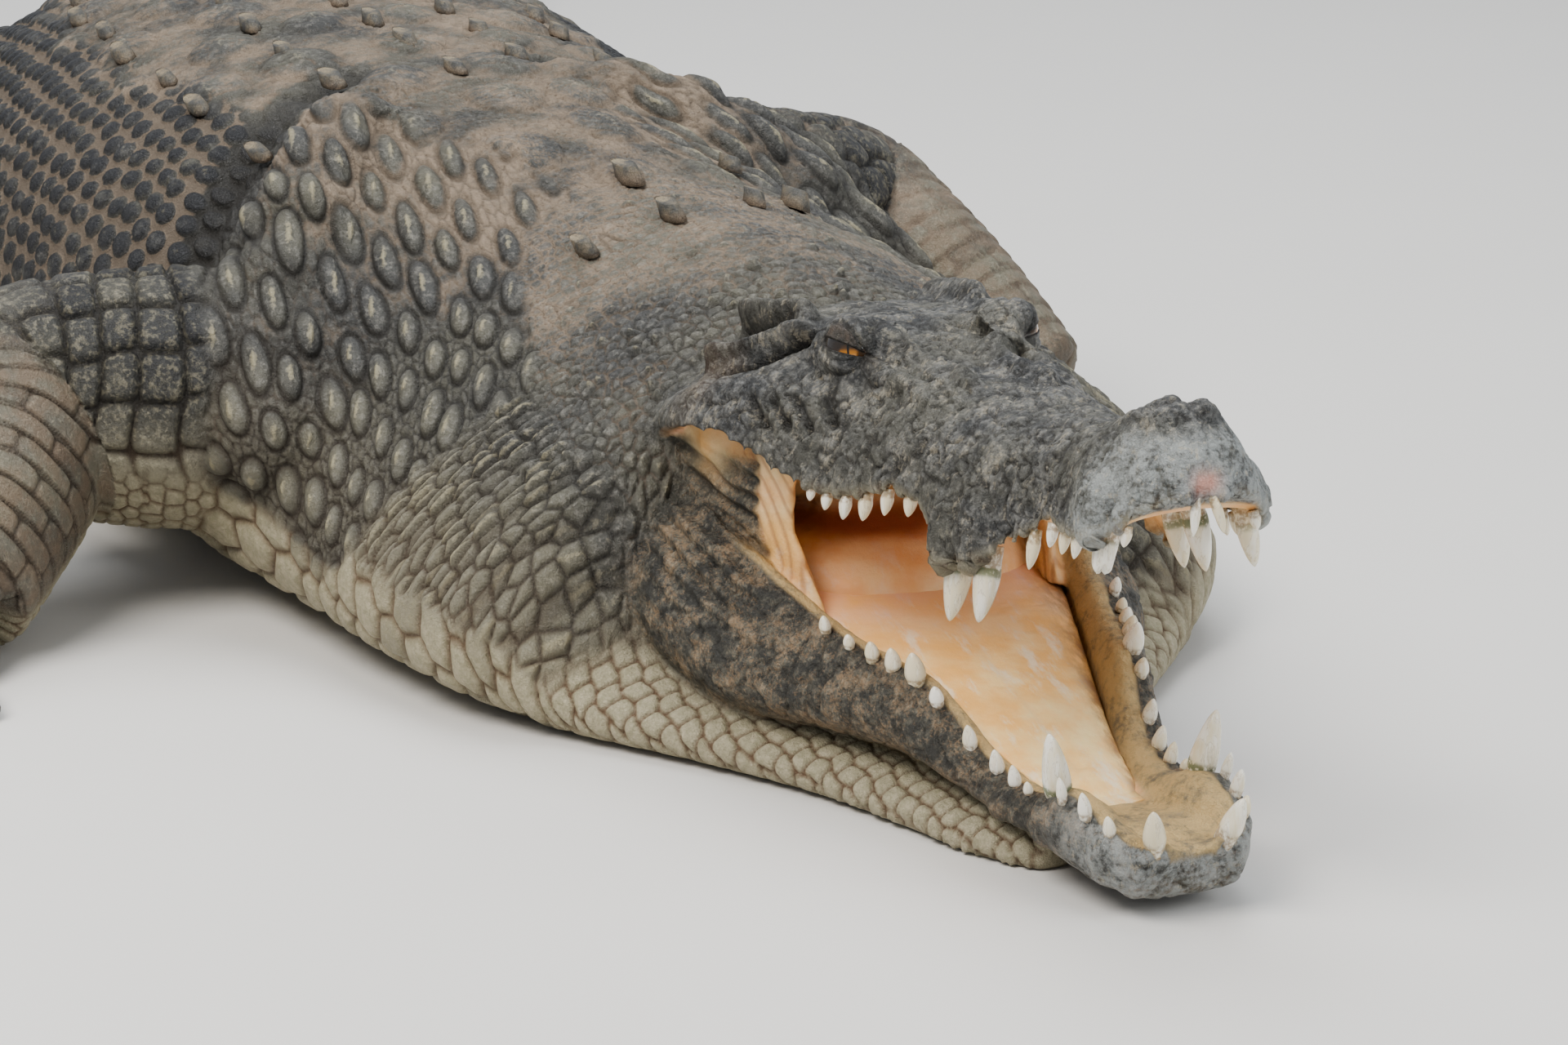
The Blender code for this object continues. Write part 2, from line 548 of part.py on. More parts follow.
def set_on_origin(where):
    """Moves everything so that the origin is under the middle of the animal, on the floor."""
    bpy.context.view_layer.update()
    graph = bpy.context.evaluated_depsgraph_get()
    corners = [piece.matrix_world @ Vector(c) for piece in where.objects
               for c in piece.evaluated_get(graph).bound_box]
    low = Vector(map(min, zip(*corners)))
    high = Vector(map(max, zip(*corners)))
    middle = (low + high) / 2
    for piece in list(where.objects) + list(bpy.data.collections["cutters"].objects):
        piece.location -= Vector((middle.x, middle.y, low.z))
    print("hinge at", [round(v, 4) for v in (-middle.x, -middle.y, HINGE_HEIGHT - low.z)])


def main():
    for old in list(bpy.data.objects):
        bpy.data.objects.remove(old)
    where = collection("saltwater_crocodile")
    collection("cutters")
    floor = bmesh.new()
    bmesh.ops.create_cube(floor, size=1)
    floor = add_object("floor_cut", floor, "hide", where)
    floor.data.transform(Matrix.Diagonal((8, 4, 1, 1)) @ Matrix.Translation((-0.15, 0, -0.5)))
    as_tool(floor)
    body = build_body(where)
    head, jaw, tongue, cheeks = build_head(where)
    part_from(body["throat"], jaw)
    part_from(body["neck"], head, jaw)
    for cheek in cheeks.values():
        part_from(cheek, head, jaw, tongue, body["throat"], body["neck"])
    for name, side in SIDES.items():
        eye(f"eye_{name}", side, head, where)
    join(head, tooth_row("upper_teeth", UPPER_TEETH, SNOUT_WIDTH, UPPER_LIP, HEAD_UP, -1, where))
    join(jaw, tooth_row("lower_teeth", LOWER_TEETH, JAW_WIDTH, JAW_TOP, -JAW_DOWN, 1, where))
    front = (body["neck"], body["chest"])
    rear = (body["trunk"], body["pelvis"], body["tail_root"])
    for name in SIDES:
        build_leg("fore", name, FORELEG[name], FORE_RADII, HAND, front, where)
        build_leg("hind", name, HINDLEG[name], HIND_RADII, FOOT, rear, where)
    set_on_origin(where)


main()
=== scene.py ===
"""A life-size saltwater crocodile at rest on its belly with its jaws open.

The hide is one skin: the same lofts as the solids, melted together, refined where the animal is
seen closest, and raised into scales, keels, wrinkles and lids by patterns that follow each part of
the body. Teeth, eyes, tongue, claws, keels and the tail's crest are pieces of their own.
"""

import math
from types import SimpleNamespace
import bpy
import numpy as np
from bpy.props import FloatProperty, FloatVectorProperty, IntProperty, PointerProperty
from mathutils import Matrix, Vector


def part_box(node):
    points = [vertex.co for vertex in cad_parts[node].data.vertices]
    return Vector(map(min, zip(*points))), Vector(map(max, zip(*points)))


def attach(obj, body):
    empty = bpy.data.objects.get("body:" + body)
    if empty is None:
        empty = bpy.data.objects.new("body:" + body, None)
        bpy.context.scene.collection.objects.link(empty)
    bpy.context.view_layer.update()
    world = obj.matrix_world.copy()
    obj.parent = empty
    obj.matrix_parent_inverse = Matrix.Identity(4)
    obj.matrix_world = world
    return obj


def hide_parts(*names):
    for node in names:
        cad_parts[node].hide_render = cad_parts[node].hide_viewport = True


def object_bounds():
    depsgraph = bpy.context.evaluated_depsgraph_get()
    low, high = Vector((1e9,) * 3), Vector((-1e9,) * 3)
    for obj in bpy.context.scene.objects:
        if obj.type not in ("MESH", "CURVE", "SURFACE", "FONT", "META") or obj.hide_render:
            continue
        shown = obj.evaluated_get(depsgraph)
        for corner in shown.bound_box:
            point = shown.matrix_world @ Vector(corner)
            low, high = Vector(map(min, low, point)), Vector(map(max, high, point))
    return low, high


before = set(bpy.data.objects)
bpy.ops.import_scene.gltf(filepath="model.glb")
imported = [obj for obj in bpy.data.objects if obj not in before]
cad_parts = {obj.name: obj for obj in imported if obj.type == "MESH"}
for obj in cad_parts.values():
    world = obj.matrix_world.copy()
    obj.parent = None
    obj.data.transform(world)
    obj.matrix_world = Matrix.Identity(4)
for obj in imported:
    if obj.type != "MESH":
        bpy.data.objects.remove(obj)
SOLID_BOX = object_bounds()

bl_info = {
    "name": "Saltwater crocodile",
    "version": (1, 0, 0),
    "blender": (4, 5, 0),
    "location": "View3D > Sidebar > Crocodile",
    "description": "Builds the hide, teeth, eyes, tongue, claws, keels and crest of a saltwater crocodile",
    "category": "Object",
}

# The forms, as in the solids: metres and degrees, from the floor under the jaw hinge. Places on head
# and jaw are shares of SKULL, back from the snout's tip, aside and up. A curve is (place, value) stations.
SKULL = 0.62
HINGE_HEIGHT = 0.177
HEAD_UP = 9.6
JAW_DOWN = 11.7
SPINE_START, TAIL_END = -0.52, 3.86
FLOOR_SKIM = 0.009
HINGE_BACK = 1.08
HINGE_DROP = 0.02
SNOUT_WIDTH = ((-0.018, 0.03), (-0.006, 0.062), (0.035, 0.094), (0.1, 0.112), (0.14, 0.113), (0.19, 0.099),
               (0.23, 0.098), (0.29, 0.122), (0.35, 0.143), (0.42, 0.146), (0.5, 0.153), (0.6, 0.182),
               (0.7, 0.218), (0.8, 0.246), (0.92, 0.272), (1.07, 0.27))
SNOUT_TOP = ((-0.018, 0.072), (-0.006, 0.092), (0.03, 0.122), (0.08, 0.131), (0.16, 0.112), (0.25, 0.104),
             (0.35, 0.108), (0.46, 0.124), (0.56, 0.143), (0.64, 0.158), (0.72, 0.182), (0.8, 0.196),
             (0.97, 0.2), (1.07, 0.175))
UPPER_LIP = ((-0.018, 0.028), (0.0, 0.02), (0.03, 0.0), (0.08, -0.012), (0.12, -0.014), (0.17, -0.012),
             (0.21, -0.014), (0.26, -0.034), (0.33, -0.066), (0.4, -0.068), (0.45, -0.022), (0.5, 0.004),
             (0.57, -0.004), (0.62, -0.008), (0.66, 0.0), (0.71, 0.014), (0.76, 0.036), (0.82, 0.058),
             (0.9, 0.066), (1.0, 0.048), (1.07, 0.03))
SECTION_POWER = ((0, 2.1), (0.3, 2.4), (0.55, 2.2), (0.7, 1.75), (0.85, 1.5), (1.07, 1.5))
TABLE_HALF = 0.15
TABLE_TOP = 0.196
PALATE_VAULT = 0.035
EYE_BACK, EYE_SIDE, EYE_UP, EYE_RADIUS = 0.715, 0.112, 0.166, 0.034
JAW_WIDTH = ((0, 0.03), (0.012, 0.066), (0.05, 0.098), (0.1, 0.112), (0.15, 0.118), (0.2, 0.113),
             (0.28, 0.117), (0.38, 0.14), (0.5, 0.176), (0.62, 0.212), (0.75, 0.248), (0.88, 0.272),
             (1.0, 0.272), (1.12, 0.23))
JAW_TOP = ((0, 0.012), (0.05, 0.01), (0.1, 0.014), (0.14, 0.012), (0.18, -0.008), (0.23, -0.034),
           (0.3, -0.044), (0.36, -0.034), (0.41, -0.012), (0.45, 0.0), (0.52, -0.002), (0.6, -0.006),
           (0.7, 0.004), (0.8, 0.018), (0.88, 0.024), (1.0, 0.002), (1.12, -0.05))
JAW_BOTTOM = ((0, -0.05), (0.012, -0.066), (0.05, -0.083), (0.12, -0.092), (0.3, -0.1), (0.45, -0.115),
              (0.6, -0.145), (0.75, -0.185), (0.88, -0.2), (1.0, -0.185), (1.12, -0.13))
JAW_FLOOR = ((0, 0.0), (0.1, -0.01), (0.16, -0.035), (0.25, -0.064), (0.45, -0.064), (0.8, -0.06),
             (1.12, -0.08))
JOWL = ((0, 0.03), (0.1, 0.112), (0.2, 0.118), (0.3, 0.14), (0.4, 0.17), (0.5, 0.208), (0.6, 0.258),
        (0.72, 0.322), (0.85, 0.346), (0.95, 0.35), (1.05, 0.335), (1.16, 0.29))
JAW_SHELF = ((0, 0.02), (0.05, 0.045), (0.14, 0.07), (0.25, 0.055), (0.45, 0.058), (1.12, 0.06))
JAW_END = 1.15
# Teeth: place, length and radius. The far row of the upper jaw has some of its own, by number.
UPPER_TEETH = ((-0.01, 0.036, 0.007), (0.03, 0.018, 0.008), (0.072, 0.085, 0.018), (0.114, 0.024, 0.008),
               (0.15, 0.024, 0.008), (0.212, 0.022, 0.008), (0.252, 0.036, 0.0095), (0.333, 0.07, 0.0185),
               (0.4, 0.074, 0.0195), (0.495, 0.024, 0.01), (0.54, 0.025, 0.0095), (0.58, 0.027, 0.0105),
               (0.614, 0.024, 0.0095), (0.644, 0.018, 0.0085), (0.668, 0.013, 0.007))
FAR_TEETH = {2: (0.068, 0.058, 0.0145), 5: (0.12, 0.022, 0.008), 6: (0.146, 0.026, 0.008),
             7: (0.18, 0.074, 0.0175), 8: (0.228, 0.066, 0.0165)}
LOWER_TEETH = ((0.012, 0.05, 0.0155), (0.05, 0.022, 0.009), (0.092, 0.028, 0.0095), (0.136, 0.026, 0.0075),
               (0.172, 0.08, 0.0195), (0.226, 0.014, 0.007), (0.262, 0.026, 0.0095), (0.302, 0.028, 0.0105),
               (0.355, 0.026, 0.0105), (0.42, 0.02, 0.0105), (0.465, 0.034, 0.015), (0.5, 0.026, 0.012),
               (0.536, 0.02, 0.0105), (0.575, 0.014, 0.0085), (0.62, 0.018, 0.009))
BROKEN_TOOTH = (2, 0.45)
TOOTH_INSET = 1.1
FRONT_TOOTH_SIDE = 0.013

# The body, by the way back along its spine: where it heads, and its section.
HEADING = ((-0.52, 0), (0.12, 2), (0.33, 15), (0.5, 13), (0.72, 3), (0.95, -4), (1.25, -6), (1.5, -10),
           (1.9, -24), (2.4, -38), (2.9, -34), (3.4, -12), (3.86, 12))
BODY_WIDTH = ((-0.52, 0.045), (-0.48, 0.07), (-0.4, 0.098), (-0.32, 0.128), (-0.22, 0.19),
              (-0.12, 0.268), (-0.04, 0.334), (0.06, 0.363), (0.18, 0.377), (0.34, 0.372), (0.5, 0.362),
              (0.7, 0.366), (0.95, 0.378), (1.2, 0.366), (1.42, 0.31), (1.6, 0.225), (1.8, 0.185),
              (2.1, 0.145), (2.5, 0.102), (2.9, 0.068), (3.3, 0.042), (3.7, 0.022), (3.86, 0.01))
BODY_TOP = ((-0.52, 0.024), (-0.44, 0.034), (-0.3, 0.046), (-0.2, 0.06), (-0.15, 0.074), (-0.105, 0.11),
            (-0.07, 0.22), (-0.03, 0.285), (0.02, 0.305), (0.12, 0.328), (0.3, 0.35), (0.5, 0.384),
            (0.7, 0.404), (0.95, 0.411), (1.2, 0.402), (1.42, 0.37), (1.6, 0.312), (1.8, 0.275),
            (2.1, 0.23), (2.5, 0.182), (2.9, 0.138), (3.3, 0.098), (3.7, 0.055), (3.86, 0.03))
BODY_WAIST = ((-0.52, 0.35), (-0.2, 0.4), (-0.04, 0.26), (0.1, 0.25), (0.3, 0.27), (0.5, 0.32), (1.0, 0.38),
              (1.5, 0.42), (2.0, 0.4), (3.86, 0.45))
UPPER_POWER = ((-0.52, 2), (-0.15, 1.6), (0.1, 1.42), (0.35, 1.6), (0.6, 2.0), (1.2, 2.1), (1.6, 1.9),
               (2.2, 1.75), (3.86, 1.8))
LOWER_POWER = 3.2
CREST_START, CREST_MERGE, CREST_PITCH = 1.58, 2.82, 0.074
CREST_HEIGHT = ((1.4, 0.004), (1.6, 0.016), (2.2, 0.034), (2.78, 0.05), (3.3, 0.05), (3.86, 0.02))
CREST_SPREAD = ((1.4, 0.09), (2.2, 0.055), (2.78, 0.006), (3.86, 0.002))
SHOULDER = ((0.6, 0.1, 0.03), (0.57, 0.145, 0.045), (0.535, 0.19, 0.054), (0.5, 0.235, 0.058),
            (0.465, 0.28, 0.06), (0.43, 0.318, 0.062), (0.4, 0.345, 0.062))
NAPE_KNOBS = ((0.32, -0.02), (0.232, -0.034), (0.245, -0.112), (0.365, 0.124), (0.282, 0.127), (0.25, 0.06))
BODY_PARTS = ("throat", "neck", "chest", "trunk", "pelvis", "tail_root", "tail_middle", "tail_rear",
              "tail_tip")
BODY_CUTS = (-0.15, 0.36, 0.78, 1.2, 1.58, 2.06, 2.6, 3.2)

# The limbs: joints, the way the toes point, and radii across and up at both ends of each length.
SIDES = {"right": -1, "left": 1}
FORELEG = {"right": (((-0.36, -0.2, 0.17), (-0.445, -0.56, 0.175), (-0.29, -0.665, 0.062)), -48),
           "left": (((-0.53, 0.06, 0.245), (-0.68, 0.32, 0.195), (-0.47, 0.42, 0.062)), 16)}
HINDLEG = {"right": (((-1.4, -0.22, 0.18), (-1.17, -0.55, 0.185), (-1.44, -0.66, 0.062)), -40),
           "left": (((-1.46, 0.03, 0.17), (-1.53, 0.31, 0.15), (-1.79, 0.4, 0.062)), 28)}
FORE_RADII = ((0.12, 0.125), (0.088, 0.098), (0.06, 0.072), (0.05, 0.042))
HIND_RADII = ((0.15, 0.14), (0.1, 0.11), (0.064, 0.076), (0.052, 0.046))
HAND = {"palm": 0.11, "width": 0.062, "thick": 0.03, "spread": (-52, -24, 2, 28, 56),
        "lengths": (0.085, 0.105, 0.11, 0.1, 0.075), "radius": 0.0175}
FOOT = {"palm": 0.16, "width": 0.072, "thick": 0.034, "spread": (-30, -10, 11, 31),
        "lengths": (0.11, 0.14, 0.145, 0.12), "radius": 0.0185}
BETWEEN_LIMBS = -0.9
CLAWED = 3
CLAW_LENGTH = 0.036

# The stage: where the camera stands from the hinge and how it is turned; each lamp's place, size and share.
CAMERA_PLACE, CAMERA_TURN, CAMERA_RISE, CAMERA_LENS = (3.802, -1.694, 1.358), 66.46, 16.52, 120
LAMP_AIM = (0.9, 0.0, 0.15)
LAMPS = (("key", (2.2, -2.4, 3.6), 2.6, 1.0), ("top", (-0.6, 0.6, 4.2), 3.5, 0.8),
         ("fill", (4.2, 1.8, 2.2), 2.5, 0.35))
FLOOR_REACH = 30
PIECE_LIMIT = 185000

_eye_low, _eye_high = (np.array(corner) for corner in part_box("eye_right"))


# Curves and patterns.

def along(stations, at):
    """The value at one or more places of a smooth curve through (place, value) stations."""
    places, values = np.array(stations, float).T
    slopes = np.gradient(values, places)
    at = np.clip(np.asarray(at, float), places[0], places[-1])
    i = np.clip(np.searchsorted(places, at) - 1, 0, len(places) - 2)
    step = places[i + 1] - places[i]
    t = (at - places[i]) / step
    return ((1 + 2 * t) * (1 - t) ** 2 * values[i] + t * (1 - t) ** 2 * step * slopes[i]
            + t * t * (3 - 2 * t) * values[i + 1] + t * t * (t - 1) * step * slopes[i + 1])


def circle(count):
    """Even turns all the way round."""
    return np.linspace(0, 2 * math.pi, count, endpoint=False)


def bell(distance, reach):
    """A smooth bump of height 1 at distance 0."""
    return np.exp(-((distance / reach) ** 2))


def ramp(value, start, end):
    """0 before start, 1 after end and smooth between; start may be the larger of the two."""
    t = np.clip((value - start) / (end - start), 0, 1)
    return t * t * (3 - 2 * t)


def chance(*whole, seed=0):
    """A repeatable random number from 0 to 1 for each set of whole numbers."""
    mix = sum(w * k for w, k in zip(whole, (12.9898, 78.233, 37.719))) + seed * 17.317
    return np.modf(np.abs(np.sin(mix) * 43758.5453))[0]


def noise(points, size, seed=0):
    """Smooth noise from -1 to 1 whose lumps are about size across."""
    q = np.asarray(points) / size
    base = np.floor(q)
    t = q - base
    t = t * t * (3 - 2 * t)
    total = np.zeros(len(q))
    for corner in np.ndindex(2, 2, 2):
        weight = np.prod([t[:, k] if c else 1 - t[:, k] for k, c in enumerate(corner)], axis=0)
        total += weight * chance(*(base + corner).T, seed=seed)
    return 2 * total - 1


def layered(points, size, seed=0, layers=3):
    """Noise with finer layers on top, from about -1 to 1."""
    return sum(noise(points, size / 2**k, seed + k) / 1.8**k for k in range(layers)) / 1.6


def cells(u, v, seed=0, jitter=0.3, brick=0.5):
    """A pattern of rounded cells: way in from the border, place in the cell and a random number."""
    row, spots = np.floor(v), []
    for j in (-1, 0, 1):
        r = row + j
        shift = brick * (r % 2)
        col = np.floor(u - shift)
        for i in (-1, 0, 1):
            c = col + i
            spots.append((c + shift + 0.5 + jitter * (chance(c, r, seed=seed) - 0.5) - u,
                          r + 0.5 + jitter * (chance(c, r, seed=seed + 1) - 0.5) - v,
                          chance(c, r, seed=seed + 2)))
    x, y, luck = np.moveaxis(np.array(spots), 1, 0)
    first = np.argmin(x * x + y * y, 0)[None]
    near_x, near_y, luck = (np.take_along_axis(a, first, 0)[0] for a in (x, y, luck))
    gap_x, gap_y = x - near_x, y - near_y
    length = np.hypot(gap_x, gap_y)
    edge = ((x + near_x) * gap_x + (y + near_y) * gap_y) / 2 / np.maximum(length, 1e-6)
    return np.where(length < 1e-5, 9, edge).min(0), -near_x, -near_y, luck


def plates(u, v, seed=0, wave=0.1, brick=0.5):
    """A pattern of rounded rectangles: way in from the border, place in the plate and a random number."""
    v = v + wave * np.sin(2.3 * u + 1.7 * np.sin(0.7 * u + seed))
    row = np.floor(v)
    u = u + brick * (row % 2) + 1.5 * wave * chance(row, seed=seed + 5)
    col = np.floor(u)
    du, dv = u - col - 0.5, v - row - 0.5
    size = (np.abs(2 * du) ** 5 + np.abs(2 * dv) ** 5) ** 0.2
    return (1 - size) / 2, du, dv, chance(col, row, seed=seed)


def dome(edge, soft):
    """A rise from a groove to a flat top, soft wide."""
    return 1 - (1 - np.clip(edge / soft, 0, 1)) ** 2


# The forms.

def head_place(back, side, up, pitch):
    """Points from the head's own frame: back, side and up as shares of SKULL."""
    forward = (HINGE_BACK - np.asarray(back, float)) * SKULL
    rise = (np.asarray(up, float) + HINGE_DROP) * SKULL
    c, s = math.cos(math.radians(pitch)), math.sin(math.radians(pitch))
    return np.stack(np.broadcast_arrays(forward * c - rise * s, np.asarray(side, float) * SKULL,
                                        HINGE_HEIGHT + forward * s + rise * c), -1)


def head_frame(points, pitch):
    """The head's own back, side and up of points."""
    c, s = math.cos(math.radians(pitch)), math.sin(math.radians(pitch))
    x, y, z = points[:, 0], points[:, 1], points[:, 2] - HINGE_HEIGHT
    return HINGE_BACK - (x * c + z * s) / SKULL, y / SKULL, (z * c - x * s) / SKULL - HINGE_DROP


HINGE = np.array(((_eye_high[0] - EYE_RADIUS * SKULL, (_eye_low[1] + _eye_high[1]) / 2, 0.0)))
HINGE -= head_place(EYE_BACK, -EYE_SIDE, EYE_UP, HEAD_UP) * (1, 1, 0)


def skull_height(back, side):
    """The top of the skull at a place: the rounded snout, the table behind and the brows."""
    half, lip = along(SNOUT_WIDTH, back), along(UPPER_LIP, back)
    power, aside = along(SECTION_POWER, back), np.abs(side)
    across = np.clip(aside / half, 0, 1)
    height = lip + (along(SNOUT_TOP, back) - lip) * (1 - across**power) ** (1 / power)
    flat = 1 / (1 + np.exp((aside - TABLE_HALF) / 0.012))
    behind = 1 / (1 + np.exp((0.79 - back) / 0.015)) / (1 + np.exp((back - 1.0) / 0.012))
    height = height + (np.maximum(height, TABLE_TOP) - height) * flat * behind
    height = height + 0.03 * bell(back - 0.725, 0.055) * bell(aside - 0.088, 0.032)
    height = height + 0.014 * bell(back - 0.055, 0.035) * bell(side, 0.045)
    height = height + 0.012 * bell(back - 0.57, 0.09) * bell(aside - 0.06 - 0.3 * (back - 0.5), 0.022)
    return height - 0.012 * bell(back - 0.6, 0.1) * bell(side, 0.03)


def skull_ring(back):
    half, lip = along(SNOUT_WIDTH, back), along(UPPER_LIP, back)
    over = np.linspace(0, math.pi, 61)
    side = half * np.sign(np.cos(over)) * np.abs(np.cos(over)) ** 0.75
    up = skull_height(back, side)
    under = half * np.linspace(-0.86, 0.86, 23)
    rise = PALATE_VAULT * min(1, 0.2 + 7 * back) + max(0, -0.6 * lip)
    vault = lip + rise * np.sqrt(1 - (under / half) ** 2)
    return head_place(back, np.concatenate([side, under]), np.concatenate([up, vault]), HEAD_UP)


def jaw_ring(back):
    half, top = along(JAW_WIDTH, back), along(JAW_TOP, back)
    bottom, floor = along(JAW_BOTTOM, back), along(JAW_FLOOR, back)
    shelf = min(along(JAW_SHELF, back), 0.75 * half)
    middle = top - 0.4 * (top - bottom)
    turn = np.radians((-90, -65, -42, -20, 0, 35, 65))
    below = turn <= 0
    bulge = (max(along(JOWL, back), half) - half) * np.array((1, 1, 1, 0.86, 0.62, 0.26, 0.04))
    lower = (half + bulge) * np.cos(turn) ** (0.7 - 0.35 * min(1, bulge[0] / 0.05))
    side = np.where(below, lower, half + bulge - 0.3 * shelf * np.sin(turn) ** 3)
    up = middle + np.where(below, middle - bottom, top - middle) * np.sin(turn)
    side = np.concatenate([side, half - shelf * np.array((0.62, 0.95, 1.12))])
    up = np.concatenate([up, (top, 0.5 * (top + floor), floor)])
    side = np.concatenate([side, [0.0], -side[:0:-1]])
    up = np.concatenate([up, [floor], up[:0:-1]])
    return rounded(head_place(back, side, up, -JAW_DOWN), 5)


def tongue_half(back):
    return along(JAW_WIDTH, back) - 1.02 * along(JAW_SHELF, back)


def tongue_ring(back):
    half = tongue_half(back)
    floor = along(JAW_FLOOR, back) + 0.0008
    turn = np.linspace(0, math.pi, 49)
    side = np.concatenate([half * np.cos(turn), half * np.linspace(-0.9, 0.9, 9)])
    up = floor + 0.003 + 0.024 * bell(back - 0.62, 0.42) * np.sin(turn) ** 0.3 - 0.02 * ramp(back, 0.29, 0.2)
    return head_place(back, side, np.concatenate([up, floor * np.ones(9)]), -JAW_DOWN)


def cheek_front(up):
    """How far forward the web at the mouth's corner stands: least where it folds."""
    fold, reach = 0.182, 0.186
    return reach + 0.75 * np.maximum(fold - up, 0) + 0.1 * np.maximum(up - fold, 0)


def cheek_rings(side):
    rings, thick, count = [], 0.09, 48
    turn = circle(count)
    for up in np.linspace(0.12, 0.252, 18):
        x = cheek_front(up) - thick + thick * np.cos(turn)
        y = 0.128 - 0.2 * (x - 0.1) + 0.012 * np.sin(turn)
        rings.append(np.stack([x, side * y, np.full(count, up)], -1))
    return rings


def gorge_form():
    """The folds that close the back of the mouth: the palate's flap above, the tongue's root below."""
    return merged([ball(np.array((0.085, 0, 0.236)), (0.064, 0.15, 0.066)),
                   ball(np.array((0.085, 0, 0.118)), (0.13, 0.15, 0.062))])


def rounded(ring, parts):
    """More points on a smooth closed curve through a ring's points."""
    ring = np.asarray(ring)
    before, after, beyond = (np.roll(ring, k, 0) for k in (1, -1, -2))
    made = []
    for t in np.arange(parts) / parts:
        made.append(0.5 * (2 * ring + (after - before) * t
                           + (2 * before - 5 * ring + 4 * after - beyond) * t * t
                           + (3 * ring - before - 3 * after + beyond) * t**3))
    return np.stack(made, 1).reshape(-1, 3)


def threaded(points, parts):
    """More points on a smooth open curve through points."""
    points = np.asarray(points, float)
    places = np.arange(len(points))
    at = np.linspace(0, len(points) - 1, parts)
    return np.stack([along(np.stack([places, column], -1), at) for column in points.T], -1)


SPINE_AT = np.linspace(SPINE_START, TAIL_END, 877)
_turn = np.radians(along(HEADING, SPINE_AT))
_step = np.diff(SPINE_AT, prepend=SPINE_AT[0])
SPINE = -np.cumsum(np.stack([np.cos(_turn), np.sin(_turn)], -1) * _step[:, None], 0)
SPINE -= [np.interp(0, SPINE_AT, column) for column in SPINE.T]


def spine(at):
    """(point on the floor, way back, way left) of the spine at places along it, each (n, 2)."""
    turn = np.radians(along(HEADING, at))
    place = np.stack([np.interp(at, SPINE_AT, column) for column in SPINE.T], -1)
    return (place, np.stack([-np.cos(turn), -np.sin(turn)], -1),
            np.stack([-np.sin(turn), np.cos(turn)], -1))


def section(at, turn):
    """Side and height of the body's skin at a turn from -pi/2, under the belly, to pi/2 on the back."""
    width, top = along(BODY_WIDTH, at), along(BODY_TOP, at)
    waist = along(BODY_WAIST, at) * top
    low = turn < 0
    power = np.where(low, 2 / LOWER_POWER, 2 / along(UPPER_POWER, at))
    side = width * np.abs(np.cos(turn)) ** power
    rise = np.abs(np.sin(turn)) ** power
    up = waist + np.where(low, -(waist + FLOOR_SKIM), top - waist) * rise
    return side, np.maximum(up, 0)


def body_rings():
    at = np.concatenate([np.linspace(SPINE_START, -0.15, 34, endpoint=False),
                         np.linspace(-0.15, 0.1, 26, endpoint=False), np.linspace(0.1, TAIL_END, 190)])
    turn = np.linspace(-math.pi / 2, math.pi / 2, 49)
    side, up = section(at[:, None], turn[None])
    side = np.concatenate([side, -side[:, -2:0:-1]], 1)
    up = np.concatenate([up, up[:, -2:0:-1]], 1)
    place, _, left = spine(at)
    flat = place[:, None] + left[:, None] * side[..., None]
    return np.concatenate([flat, up[..., None]], -1)


def limb_rings(centres, radii, count=36):
    """Rings across a bent limb. It returns them with the way along, across and upright at each."""
    way = np.gradient(centres, axis=0)
    way /= np.linalg.norm(way, axis=1)[:, None]
    across = np.cross(way, (0, 0, 1))
    across /= np.linalg.norm(across, axis=1)[:, None]
    upright = np.cross(across, way)
    turn = circle(count)[None, :, None]
    rings = (centres[:, None] + across[:, None] * radii[:, None, :1] * np.cos(turn)
             + upright[:, None] * radii[:, None, 1:] * np.sin(turn))
    return rings, across, upright


def limb_path(joints, radii):
    """Centres and radii down a whole limb, smooth through the knee."""
    centres, sizes = [], []
    for start, swell in ((0, 0.04), (1, 0.1)):
        a, b = np.array(joints[start]), np.array(joints[start + 1])
        for share in np.linspace(0, 1, 4)[start:]:
            centres.append(a + (b - a) * share)
            more = 1 + swell * math.sin(math.pi * share)
            sizes.append([(r0 + (r1 - r0) * share) * more
                          for r0, r1 in zip(radii[start], radii[start + 1])])
    return threaded(centres, 43), threaded(sizes, 43)


